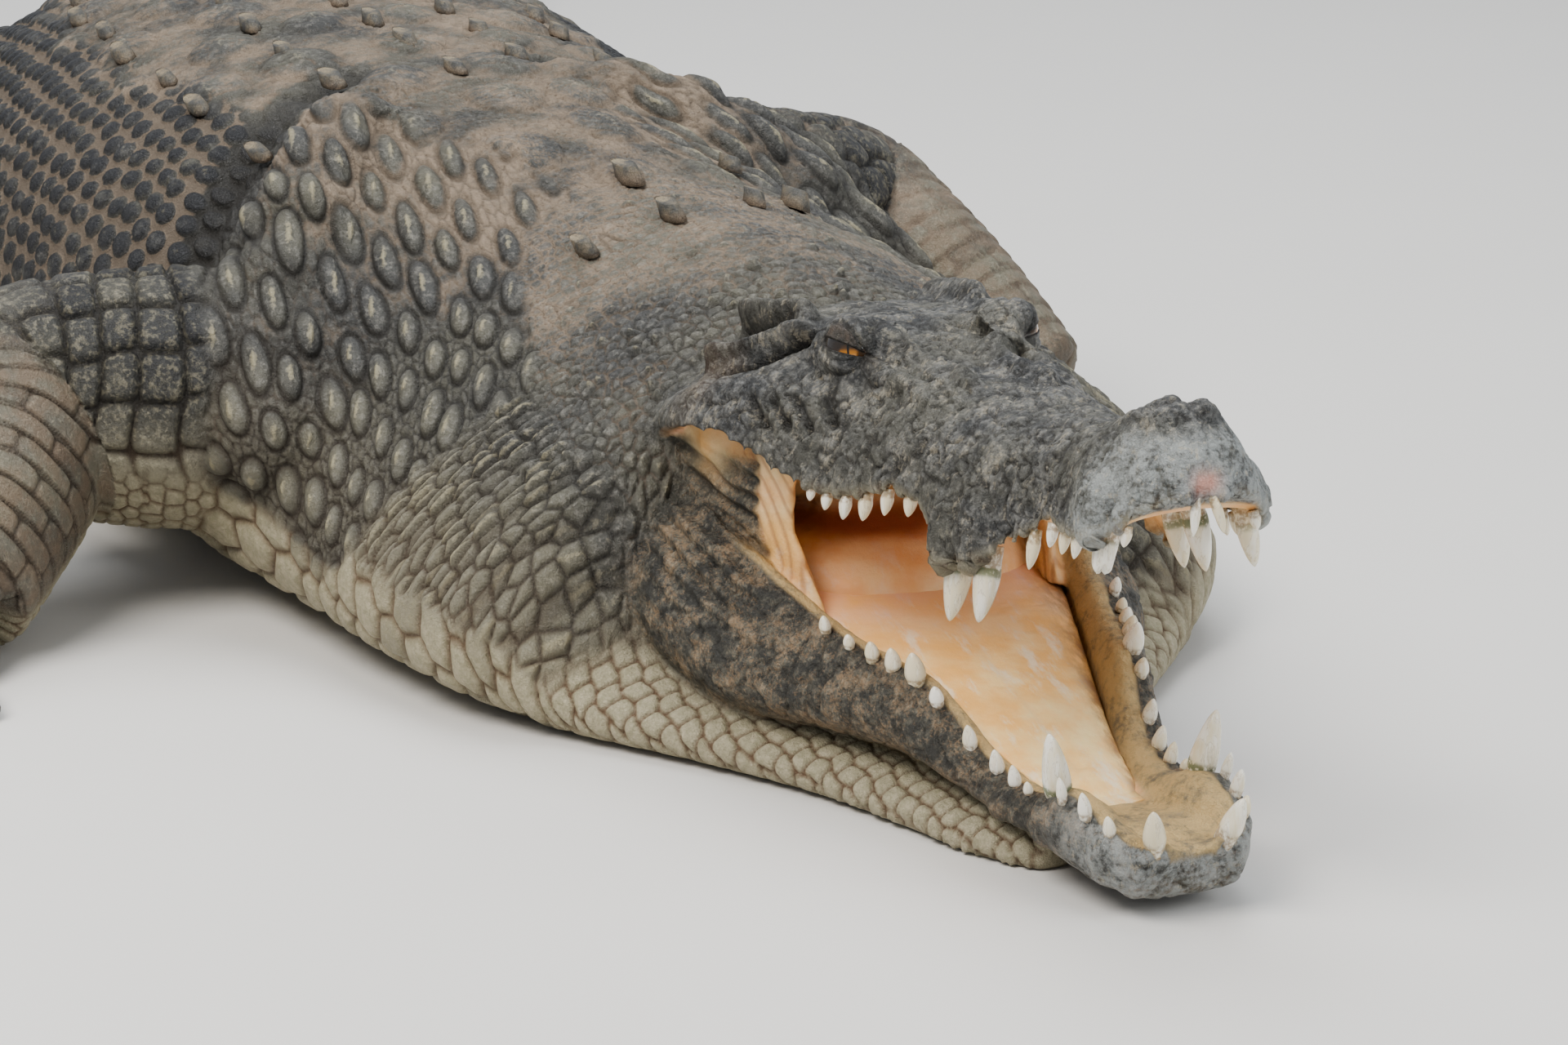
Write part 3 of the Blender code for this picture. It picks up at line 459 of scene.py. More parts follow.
def paw_forms(limb, wrist, heading):
    """The palm and the digits of one hand or foot, and where its claws stand."""
    way = np.array((math.cos(math.radians(heading)), math.sin(math.radians(heading)), 0))
    across = np.array((-way[1], way[0], 0))
    side = 1 if heading > 0 else -1
    wide, thick = limb["width"], limb["thick"]
    root, turn = np.array(wrist), circle(32)[:, None]
    rings, palm = [], ((0, 0.8, 1), (0.35, 0.85, 0.8), (0.7, 1, 0.62), (1, 0.86, 0.5))
    for share, breadth, height in threaded(palm, 13):
        centre = root + way * limb["palm"] * share
        tall = thick * 2 * height
        centre[2] = max(root[2] * (1 - min(share, 1)) ** 1.5, tall * 0.5 - 0.7 * FLOOR_SKIM)
        rings.append(centre + across * wide * breadth * np.cos(turn)
                     + np.array((0, 0, tall * 0.5)) * np.sin(turn))
    forms, tips = [loft(rings)], []
    for number, (splay, length) in enumerate(zip(limb["spread"], limb["lengths"])):
        angle = math.radians(heading - side * splay)
        out = np.array((math.cos(angle), math.sin(angle), 0))
        start = (root + way * limb["palm"] * 0.72
                 - across * side * wide * 0.75 * splay / max(limb["spread"])) * (1, 1, 0)
        radius = limb["radius"]
        stations = ((-0.2, 0.9, 1.15), (0.2, 0.86, 1.0), (0.42, 0.85, 1.06), (0.62, 0.78, 0.86),
                    (0.8, 0.68, 0.8), (0.94, 0.56, 0.62), (1.0, 0.5, 0.42))
        t, h, r = threaded(stations, 19).T
        centres = start + out * (length * t)[:, None] + np.array((0, 0, 1)) * (radius * h)[:, None]
        forms.append(loft(limb_rings(centres, radius * np.stack([r, r], -1), 20)[0]))
        if number < CLAWED:
            tips.append((start + out * length + np.array((0, 0, radius * 0.5)), out, radius * 0.5))
    return forms, tips


def loft(rings):
    """(points, triangles) of a closed form through rings of points, its faces pointing out."""
    rings = np.asarray(rings)
    n, m = rings.shape[:2]
    points = np.concatenate([rings.reshape(-1, 3), rings[:1].mean(1), rings[-1:].mean(1)])
    k = np.arange(m)
    j = (k + 1) % m
    a = (np.arange(n - 1)[:, None] * m + k).ravel()
    b = (np.arange(n - 1)[:, None] * m + j).ravel()
    last = (n - 1) * m
    faces = np.concatenate([np.stack([a, b, b + m], 1), np.stack([a, b + m, a + m], 1),
                            np.stack([j, k, np.full(m, n * m)], 1),
                            np.stack([k + last, j + last, np.full(m, n * m + 1)], 1)])
    volume = np.einsum("ij,ij->", points[faces[:, 0]], np.cross(points[faces[:, 1]], points[faces[:, 2]]))
    return points, faces if volume > 0 else faces[:, ::-1]


def ball(centre, radii, frame_of=np.eye(3), rings=25, count=32):
    """A closed ellipsoid whose axes are the rows of frame_of."""
    lat = np.linspace(-math.pi / 2, math.pi / 2, rings)[1:-1, None]
    turn = circle(count)[None]
    local = np.stack(np.broadcast_arrays(np.sin(lat), np.cos(lat) * np.cos(turn),
                                         np.cos(lat) * np.sin(turn)), -1) * radii
    return loft(local @ np.asarray(frame_of) + centre)


def merged(forms):
    """Several (points, triangles) forms as one."""
    counts = np.cumsum([0] + [len(points) for points, _ in forms])
    return (np.concatenate([points for points, _ in forms]),
            np.concatenate([faces + first for (_, faces), first in zip(forms, counts)]))


# Work on the skin's points.

def point_normals(points, faces):
    a, b, c = (points[faces[:, k]] for k in range(3))
    across = np.cross(b - a, c - a)
    total = np.stack([sum(np.bincount(faces[:, k], across[:, axis], len(points)) for k in range(3))
                      for axis in range(3)], -1)
    return total / np.maximum(np.linalg.norm(total, axis=1), 1e-12)[:, None]


def edges_of(points, faces):
    ends = np.sort(np.concatenate([faces[:, [0, 1]], faces[:, [1, 2]], faces[:, [2, 0]]]), 1)
    keys, inverse = np.unique(ends[:, 0] * len(points) + ends[:, 1], return_inverse=True)
    return keys // len(points), keys % len(points), inverse.reshape(3, -1)


def eased(points, faces, strength, rounds):
    """Points drawn towards the mean of their neighbours, each by its own strength."""
    a, b, _ = edges_of(points, faces)
    count = len(points)
    degree = np.bincount(a, minlength=count) + np.bincount(b, minlength=count)
    for _ in range(rounds):
        mean = np.stack([np.bincount(a, points[b, k], count) + np.bincount(b, points[a, k], count)
                         for k in range(3)], -1) / degree[:, None]
        points = points + strength[:, None] * (mean - points)
    return points


def refined(points, faces, marks, chosen):
    """Halves each edge between chosen points; the new points lie on the curved skin."""
    normals = point_normals(points, faces)
    a, b, inverse = edges_of(points, faces)
    split = chosen[a] & chosen[b]
    place = np.where(split, len(points) + np.cumsum(split) - 1, -1)
    a, b = a[split], b[split]
    middle = (points[a] + points[b]) / 2
    lift = sum(((points[e] - middle) * normals[e]).sum(1)[:, None] * normals[e] for e in (a, b)) / 2
    points = np.concatenate([points, middle + 0.75 * lift])
    marks = np.concatenate([marks, (marks[a] + marks[b]) / 2])
    m = place[inverse]
    count = (m >= 0).sum(0)
    made = [faces[count == 0]]
    whole, (m0, m1, m2) = faces[count == 3], m[:, count == 3]
    f0, f1, f2 = whole.T
    made += [np.stack(three, 1) for three in ((f0, m0, m2), (m0, f1, m1), (m2, m1, f2), (m0, m1, m2))]
    for k in range(3):
        one = (count == 1) & (m[k] >= 0)
        f, g, h, new = faces[one, k], faces[one, (k + 1) % 3], faces[one, (k + 2) % 3], m[k, one]
        made += [np.stack((f, new, h), 1), np.stack((new, g, h), 1)]
    return points, np.concatenate(made), marks


def body_frame(points):
    """Way back along the spine, side, turn in degrees (90 on the back) and way round from the back."""
    at = np.clip(-points[:, 0], SPINE_START, TAIL_END)
    for _ in range(9):
        place, way, left = spine(at)
        off = points[:, :2] - place
        at = np.clip(at + (off * way).sum(1), SPINE_START, TAIL_END)
    side, z = (off * left).sum(1), points[:, 2]
    width, top = along(BODY_WIDTH, at), along(BODY_TOP, at)
    waist, power = along(BODY_WAIST, at) * top, along(UPPER_POWER, at)
    high = z >= waist
    power = np.where(high, power, LOWER_POWER) / 2
    rise = np.abs(z - waist) / np.where(high, top - waist, waist + FLOOR_SKIM)
    turn = np.degrees(np.arctan2(rise**power, (np.abs(side) / width) ** power)) * np.where(high, 1, -1)
    rows, spins = np.linspace(SPINE_START, TAIL_END, 120), np.radians(np.linspace(90, -90, 73))
    y, up = section(rows[:, None], spins[None])
    step_y, step_up = (np.diff(row, axis=1, prepend=row[:, :1]) for row in (y, up))
    length = np.cumsum(np.hypot(step_y, step_up), 1)
    i, j = (at - SPINE_START) / (TAIL_END - SPINE_START) * (len(rows) - 1), (90 - turn) / 2.5
    i0, j0 = np.clip(i.astype(int), 0, len(rows) - 2), np.clip(j.astype(int), 0, len(spins) - 2)
    i, j = i - i0, j - j0
    way_round = ((1 - i) * ((1 - j) * length[i0, j0] + j * length[i0, j0 + 1])
                 + i * ((1 - j) * length[i0 + 1, j0] + j * length[i0 + 1, j0 + 1]))
    return at, side, turn, way_round


def body_place(at, side):
    """Points on the back at places along and across it, with the way left and the way up there."""
    at, side = np.atleast_1d(at).astype(float), np.atleast_1d(side).astype(float)
    width, top = along(BODY_WIDTH, at), along(BODY_TOP, at)
    waist, power = along(BODY_WAIST, at) * top, along(UPPER_POWER, at)

    def height(side):
        return waist + (top - waist) * np.maximum(0, 1 - (np.abs(side) / width) ** power) ** (1 / power)

    place, way, left = spine(at)
    point = np.concatenate([place + left * side[:, None], height(side)[:, None]], 1)
    slope = (height(side + 0.004) - height(side - 0.004)) / 0.008
    normal = np.concatenate([-left * slope[:, None], np.ones((len(at), 1))], 1)
    return point, way, left, normal / np.linalg.norm(normal, axis=1)[:, None]


def limb_frame(points, centres, across, upright):
    """Way down the limb and the turn about it, 0 on top, from -pi to pi."""
    lengths = np.concatenate([[0], np.cumsum(np.linalg.norm(np.diff(centres, axis=0), axis=1))])
    best, near, share = np.full(len(points), 1e9), np.zeros(len(points), int), np.zeros(len(points))
    for k in range(len(centres) - 1):
        bone = centres[k + 1] - centres[k]
        t = np.clip((points - centres[k]) @ bone / (bone @ bone), 0, 1)
        gap = ((points - centres[k] - t[:, None] * bone) ** 2).sum(1)
        closer = gap < best
        best[closer], near[closer], share[closer] = gap[closer], k, t[closer]
    blend = share[:, None]
    off = points - centres[near] * (1 - blend) - centres[near + 1] * blend
    right = (across[near] * (1 - blend) + across[near + 1] * blend)
    above = (upright[near] * (1 - blend) + upright[near + 1] * blend)
    return (lengths[near] * (1 - share) + lengths[near + 1] * share,
            np.arctan2((off * right).sum(1), (off * above).sum(1)))


def stroke(place, path, width):
    """How near points are to a line through a path, from 1 on it to 0 beyond a width or two."""
    path = np.asarray(path, float)
    best = np.full(len(place), 1e9)
    for a, b in zip(path, path[1:]):
        t = np.clip((place - a) @ (b - a) / ((b - a) @ (b - a)), 0, 1)
        best = np.minimum(best, ((place - a - t[:, None] * (b - a)) ** 2).sum(1))
    return np.exp(-best / width**2)


# What a pattern gives each point of the skin.
# The top mark is 1 on the tops of scales and falls in grooves, cracks, folds and slits, where the hide's
# finish paints shade.
CHANNELS = ("height", "top", "keel", "black", "dust", "pale", "warm", "lining", "pink", "shelf", "face",
            "jaw", "frost")


def skin_marks(count, **given):
    """A block of marks, one row for each channel."""
    made = np.zeros((len(CHANNELS), count))
    made[1] = 1
    for name, value in given.items():
        made[CHANNELS.index(name)] = value
    return made


def buttons(u, v, size, height, seed):
    """Round glossy buttons close together, with mud between them."""
    _, du, dv, luck = cells(u / size, v / size, seed, 0.25)
    r = np.hypot(du, dv) / (0.40 + 0.05 * luck)
    top = ramp(r, 1.08, 0.86)
    lift = height * np.sqrt(np.clip(1 - 0.8 * r**2, 0, 1)) * top
    return skin_marks(len(u), height=lift, top=top, black=top, dust=1 - 0.85 * top,
                      keel=0.35 * top * ramp(luck, 0.4, 1) * ramp(r, 0.6, 0.1))


def ovals(u, v, wide, long, height, seed):
    """Keeled ovals in rows, each in a ring, with small scales between them."""
    edge, du, dv, luck = cells(u / wide, v / long, seed, 0.22)
    r = np.hypot(du / (0.32 + 0.09 * luck), dv / (0.35 + 0.08 * luck))
    top = ramp(r, 1.05, 0.75)
    keel = np.exp(-((du / 0.09) ** 2)) * np.exp(-((dv / 0.22) ** 2))
    small = cells(u / 0.0095, v / 0.011, seed + 9, 0.6)[0]
    between = 1 - ramp(r, 1.35, 1.0)
    lift = (height * np.sqrt(np.clip(1 - r**2, 0, 1)) + 0.4 * height * keel
            - 0.0014 * bell(r - 1.1, 0.16) + between * 0.0013 * dome(small, 0.3))
    seam = ramp(edge, 0.0, 0.05)
    return skin_marks(len(u), height=lift - 0.0009 * (1 - seam),
                      top=np.maximum(top, 0.6 * dome(small, 0.25) * between),
                      keel=keel + 0.35 * ramp(r, 0.55, 0.1), black=0.75 * top * ramp(r, 0.45, 0.85),
                      dust=0.25 + 0.6 * between)


def pebbles(u, v, wide, long, height, seed, jitter=0.5, soft=0.28):
    edge, du, dv, luck = cells(u / wide, v / long, seed, jitter)
    lift = height * dome(edge, soft) * (0.75 + 0.5 * luck)
    return lift, dome(edge, soft * 0.7), du, dv, luck


def tiles(u, v, wide, long, height, seed, wave=0.1, soft=0.12, brick=0.5):
    edge, du, dv, luck = plates(u / wide, v / long, seed, wave, brick)
    return height * dome(edge, soft), dome(edge, soft * 0.6), du, dv, luck


def lay(total, share, zone):
    """Adds a zone's pattern to the skin, where its share isn't nothing."""
    here = np.nonzero(share > 0.004)[0]
    if len(here):
        total[:, here] += share[here] * zone(here)


def body_marks(points):
    """The patterns of neck, back, flanks, belly and tail."""
    at, side, turn, arc = body_frame(points)
    lumps = layered(points, 0.09, 3, 2)
    at_w, arc_w = at + 0.006 * lumps, np.sign(side) * (arc + 0.006 * noise(points, 0.08, 8))
    outward = 0.6 * at + 0.8 * np.abs(side) + 0.005 * lumps
    stray = noise(points, 0.035, 17) + 0.5 * noise(points, 0.014, 18)
    high = turn - 22 * bell(at - 0.42, 0.24) + 3.5 * stray
    top = ramp(high, 50, 56)
    low = ramp(turn + 2 * stray, -20, -27)
    rear = ramp(at - 0.665 + 0.54 * (np.abs(side) - 0.09) + 0.006 * stray, -0.012, 0.012)
    past = ramp(at + 0.012 * stray, 0.3, 0.34)
    tail, throat = ramp(at, 1.42, 1.62), ramp(at + 0.006 * stray, -0.09, -0.12)
    rest = (1 - tail) * (1 - throat)
    shares = {"tail": tail, "throat": (1 - tail) * throat, "belly": rest * low * rear,
              "back": rest * top * past, "nape": rest * ramp(high, 40, 46) * (1 - past),
              "flank": rest * rear * (1 - low) * (1 - top)}
    side_front = np.clip(rest - shares["belly"] - shares["back"] - shares["nape"] - shares["flank"], 0, 1)
    shoulder = ramp(at + 0.0016 * turn + 0.008 * stray, 0.16, 0.2) * ramp(turn + 3 * stray, -2, 4)
    lower = ramp(turn - 14 * ramp(at, 0.1, 0.35) + 3 * stray, 11, 5)
    shares["shoulder"] = side_front * shoulder
    shares["low_neck"] = side_front * (1 - shoulder) * lower
    shares["neck"] = side_front * (1 - shoulder) * (1 - lower)

    def of_tail(k):
        u = (at[k] - CREST_START) / CREST_PITCH
        whorl = u - np.floor(u)
        lift, face, du, dv, luck = tiles(arc_w[k], at[k] - CREST_START, 0.034, CREST_PITCH / 2, 0.0032, 21,
                                         0.02)
        keel = np.exp(-((du / 0.12) ** 2)) * ramp(turn[k], -10, 30)
        lift = lift + 0.0022 * keel * ramp(dv, -0.5, 0.4) - 0.0012 * bell(np.minimum(whorl, 1 - whorl), 0.05)
        return skin_marks(len(k), height=lift, top=face, keel=0.5 * keel * luck,
                          black=0.55 * ramp(luck, 0.35, 0.7) * ramp(turn[k], -40, 0),
                          dust=0.42 * ramp(turn[k], -30, 40), pale=0.75 * ramp(turn[k], -10, -45))

    def of_throat(k):
        lift, face, *_ = tiles(at_w[k], arc_w[k], 0.018, 0.021, 0.0036, 31, 0.12, 0.22)
        return skin_marks(len(k), height=lift, top=face, pale=0.95, warm=0.25 * (1 - face))

    def of_belly(k):
        lift, face, *_ = tiles(at[k], arc_w[k], 0.034, 0.03, 0.0022, 41, 0.05)
        return skin_marks(len(k), height=lift * ramp(points[k, 2], 0.001, 0.02), top=face, pale=0.9)

    def of_back(k):
        lift, face, *_ = pebbles(at_w[k], arc_w[k], 0.014, 0.0075, 0.0014, 51, 0.8)
        lines = ramp(np.abs(np.sin(40 * layered(points[k], 0.075, 12, 2) + 110 * at_w[k])), 0.0, 0.4)
        wide = ovals(arc_w[k] + 0.01, at_w[k] + 0.02, 0.098, 0.1, 0.008, 5)
        wide[0] = 0.8 * wide[0] + lift + 0.0016 * lines
        wide[1] = np.minimum(0.5 + 0.5 * face, lines) * (0.45 + 0.55 * wide[1])
        wide[2] *= 0.3
        wide[3] *= 0.5
        wide[4] = 0.6 + 0.16 * noise(points[k], 0.04, 12)
        return wide

    def of_nape(k):
        lift, face, du, dv, luck = pebbles(at_w[k], arc_w[k], 0.0115, 0.0125, 0.0036, 61, 0.8)
        r = np.hypot(du, dv)
        spike = ramp(luck, 0.8, 1) * bell(r, 0.28)
        flow = ramp(np.abs(np.sin(36 * layered(points[k], 0.07, 14, 2) + 110 * at_w[k])), 0.0, 0.4)
        tan = ramp(at[k] + 0.02 * stray[k], 0.06, 0.2)
        return skin_marks(len(k), height=(lift + 0.0055 * spike) * (1 - 0.55 * tan) + 0.0014 * flow * tan,
                          top=face * (1 - tan * (1 - flow)), keel=0.45 * spike + 0.25 * luck * bell(r, 0.3),
                          dust=0.52 + 0.14 * tan, black=0.35 * ramp(luck, 0.55, 0.2) * (1 - tan))

    def of_flank(k):
        made = buttons(at_w[k], arc_w[k], 0.025, 0.0055, 71)
        made[4] *= 0.7
        return made

    def of_shoulder(k):
        made = ovals(outward[k], arc_w[k], 0.033, 0.042, 0.006, 81)
        made[0] += 0.0012 * layered(points[k], 0.012, 83, 2)
        made[2] *= 0.6
        made[3] *= 0.5
        made[4] = (0.16 + 0.3 * made[4] + 0.3 * ramp(turn[k], 35, 65)) * (0.6 + 0.4 * ramp(at[k], 0.15, 0.4))
        made[5] = 0.14 * ramp(turn[k], 40, 15)
        return made

    def of_low_neck(k):
        edge, _, _, luck = cells(outward[k] / 0.032, arc_w[k] / 0.045, 91, 0.35)
        return skin_marks(len(k), height=0.0065 * dome(edge, 0.3), top=dome(edge, 0.16), keel=0.4 * luck,
                          pale=0.4 + 0.55 * ramp(turn[k] + 5 * lumps[k], 24, -4),
                          black=0.3 * ramp(luck, 0.7, 1), dust=0.25 * (1 - ramp(turn[k], 14, -10)))

    def of_neck(k):
        lean = at_w[k] + 0.12 * arc_w[k]
        lift, face, du, _, luck = pebbles(lean, arc_w[k], 0.0105, 0.027, 0.0045, 101, 0.7, 0.34)
        folds = np.sin((lean + 0.006 * noise(points[k], 0.05, 4)) * 2 * math.pi / 0.026)
        deep = ramp(folds, -0.3, -1) * ramp(at[k], 0.22, 0.05)
        return skin_marks(len(k), height=lift + 0.0026 * folds * ramp(at[k], 0.25, 0.05),
                          top=face * (1 - 0.5 * deep), keel=0.75 * luck * bell(du, 0.3), dust=0.36,
                          pale=0.5 * ramp(turn[k] + 6 * lumps[k], 45, 0))

    zones = {"tail": of_tail, "throat": of_throat, "belly": of_belly, "back": of_back, "nape": of_nape,
             "flank": of_flank, "shoulder": of_shoulder, "low_neck": of_low_neck, "neck": of_neck}
    total = np.zeros((len(CHANNELS), len(points)))
    for name, zone in zones.items():
        lay(total, shares[name], zone)
    # The valley in front of the shoulder: a dip in the skin, with painted shade, as its top mark falls to the
    # groove colour and its mud is thinned.
    armpit = ((0.665, 0.09, 0), (0.64, 0.17, 0), (0.6, 0.24, 0), (0.56, 0.3, 0), (0.52, 0.36, 0))
    valley = stroke(np.stack([at, np.abs(side), 0 * at], -1), armpit, 0.02)
    total[0] -= 0.013 * valley
    total[1] *= 1 - 0.7 * ramp(valley, 0.25, 0.8)
    total[4] *= 1 - 0.8 * ramp(valley, 0.05, 0.4)
    return total


def limb_marks(points, path, hind, dusty):
    """The plates of an arm or leg: large above the knee, bands below it, small and pale beneath."""
    centres, radii = path
    _, across, upright = limb_rings(centres, radii, 3)
    down, turn = limb_frame(points, centres, across, upright)
    knee = np.linalg.norm(centres[21] - centres[0])
    girth, aside = turn * (0.085 if hind else 0.078), np.abs(turn)
    wobble = 0.004 * noise(points, 0.06, 2)
    beneath = ramp(aside, 1.75, 2.25)
    lower = ramp(down + 0.02 * noise(points, 0.05, 9), knee - 0.06, knee + 0.07)
    girth_w, down_w = girth + wobble, down + wobble
    total = np.zeros((len(CHANNELS), len(points)))

    def of_plates(k):
        lift, face, du, _, luck = tiles(girth_w[k], down_w[k], 0.033, 0.034, 0.0065, 111, 0.12, 0.2, 0.2)
        if hind:
            lift = lift + 0.002 * bell(du, 0.14)
        return skin_marks(len(k), height=lift * 1.15, top=face, keel=0.34,
                          black=(0.45 + 0.5 * luck) * ramp(aside[k], 2.0, 1.2),
                          dust=0.7 * dusty * ramp(aside[k], 1.5, 0.3), pale=0.4 * ramp(aside[k], 1.2, 2.1))

    def of_bands(k):
        band = 0.021
        lap = down_w[k] / band - np.floor(down_w[k] / band)
        lift, face, _, _, luck = tiles(girth_w[k], down_w[k], 0.062, band, 0.0022, 121, 0.12, 0.1)
        return skin_marks(len(k), height=lift + 0.0024 * lap, top=1 - 0.8 * (1 - face * ramp(lap, 0, 0.14)),
                          black=0.45 * ramp(luck, 0.4, 0.9), dust=0.7 * dusty, warm=0.5, pale=0.2, keel=0.25)

    def of_beneath(k):
        lift, face, *_ = pebbles(girth[k], down[k], 0.016, 0.014, 0.0028, 131, 0.5)
        return skin_marks(len(k), height=lift, top=face, pale=0.85)

    lay(total, (1 - beneath) * (1 - lower), of_plates)
    lay(total, (1 - beneath) * lower, of_bands)
    lay(total, beneath, of_beneath)
    return total


def paw_marks(points):
    """Small scales over the digits and the palm."""
    lift, face, _, _, luck = pebbles(points[:, 0], points[:, 1] + 0.5 * points[:, 2], 0.011, 0.0095, 0.0018,
                                     141, 0.45)
    return skin_marks(len(points), height=lift, top=face, warm=0.5, dust=0.4, black=0.25 * luck)


def tooth_side(back, radius, width):
    """How far from the middle a tooth stands."""
    return FRONT_TOOTH_SIDE if back < 0 else along(width, back) - TOOTH_INSET * radius


def tooth_places(table, width, margin):
    for back, length, radius in table:
        yield back, length, radius, float(tooth_side(back, radius, width)), float(along(margin, back))


# Lines on the skull, each a path of (back, side) places with its width and its height or depth.
EAR_SLIT = ((0.785, 0.124), (0.802, 0.144), (0.82, 0.159), (0.855, 0.183), (0.88, 0.198), (0.905, 0.209))
EAR_HOLLOW = ((0.85, 0.139), (0.9, 0.15), (0.95, 0.152), (0.985, 0.146))
CREASES = (((0.8, 0.215), (0.772, 0.218), (0.75, 0.216)), ((0.775, 0.2), (0.745, 0.202), (0.72, 0.202)),
           ((0.735, 0.183), (0.708, 0.184), (0.685, 0.188)), ((0.705, 0.156), (0.677, 0.163), (0.655, 0.17)))
RIDGES = (
    (((0.655, 0.07), (0.7, 0.086), (0.76, 0.1)), 0.017, 0.01),
    (((0.83, 0.116), (0.9, 0.13), (0.96, 0.132), (0.99, 0.126)), 0.014, 0.02),
    (((1.0, 0.125), (1.03, 0.118)), 0.02, 0.006),
    (((0.655, 0.055), (0.58, 0.045), (0.49, 0.05)), 0.014, 0.008),
    (((0.655, 0.1), (0.6, 0.1), (0.52, 0.1)), 0.011, 0.005),
    (((0.805, 0.134), (0.835, 0.147), (0.873, 0.164), (0.925, 0.183), (0.95, 0.193)), 0.0125, 0.015),
    (((0.94, 0.192), (0.955, 0.198)), 0.018, 0.008),
    (((0.7, 0.175), (0.85, 0.215), (0.99, 0.25)), 0.03, 0.006),
    (((0.69, 0.12), (0.64, 0.112), (0.61, 0.112), (0.63, 0.126)), 0.013, 0.005),
    (((0.7, 0.066), (0.675, 0.075), (0.66, 0.084)), 0.012, 0.008),
)
GROOVES = (
    (EAR_SLIT, 0.006, 0.026),
    (EAR_HOLLOW, 0.012, 0.014),
    (((0.73, 0.04), (0.685, 0.06), (0.655, 0.077), (0.647, 0.09)), 0.006, 0.005),
    (((0.66, 0.125), (0.715, 0.145), (0.78, 0.148)), 0.008, 0.004),
    (((0.66, 0.09), (0.61, 0.085), (0.56, 0.08)), 0.008, 0.005),
    (((0.63, 0.12), (0.58, 0.11)), 0.007, 0.003),
    *((path, 0.0075, 0.007) for path in CREASES),
)
NOSTRIL = ((0.052, 0.014, 0.14), (0.07, 0.03, 0.136))
NOSTRIL_RIM = ((0.035, 0.03, 0.13), (0.07, 0.045, 0.125))
SNOUT_SORE = (-0.012, 0.004, 0.05)


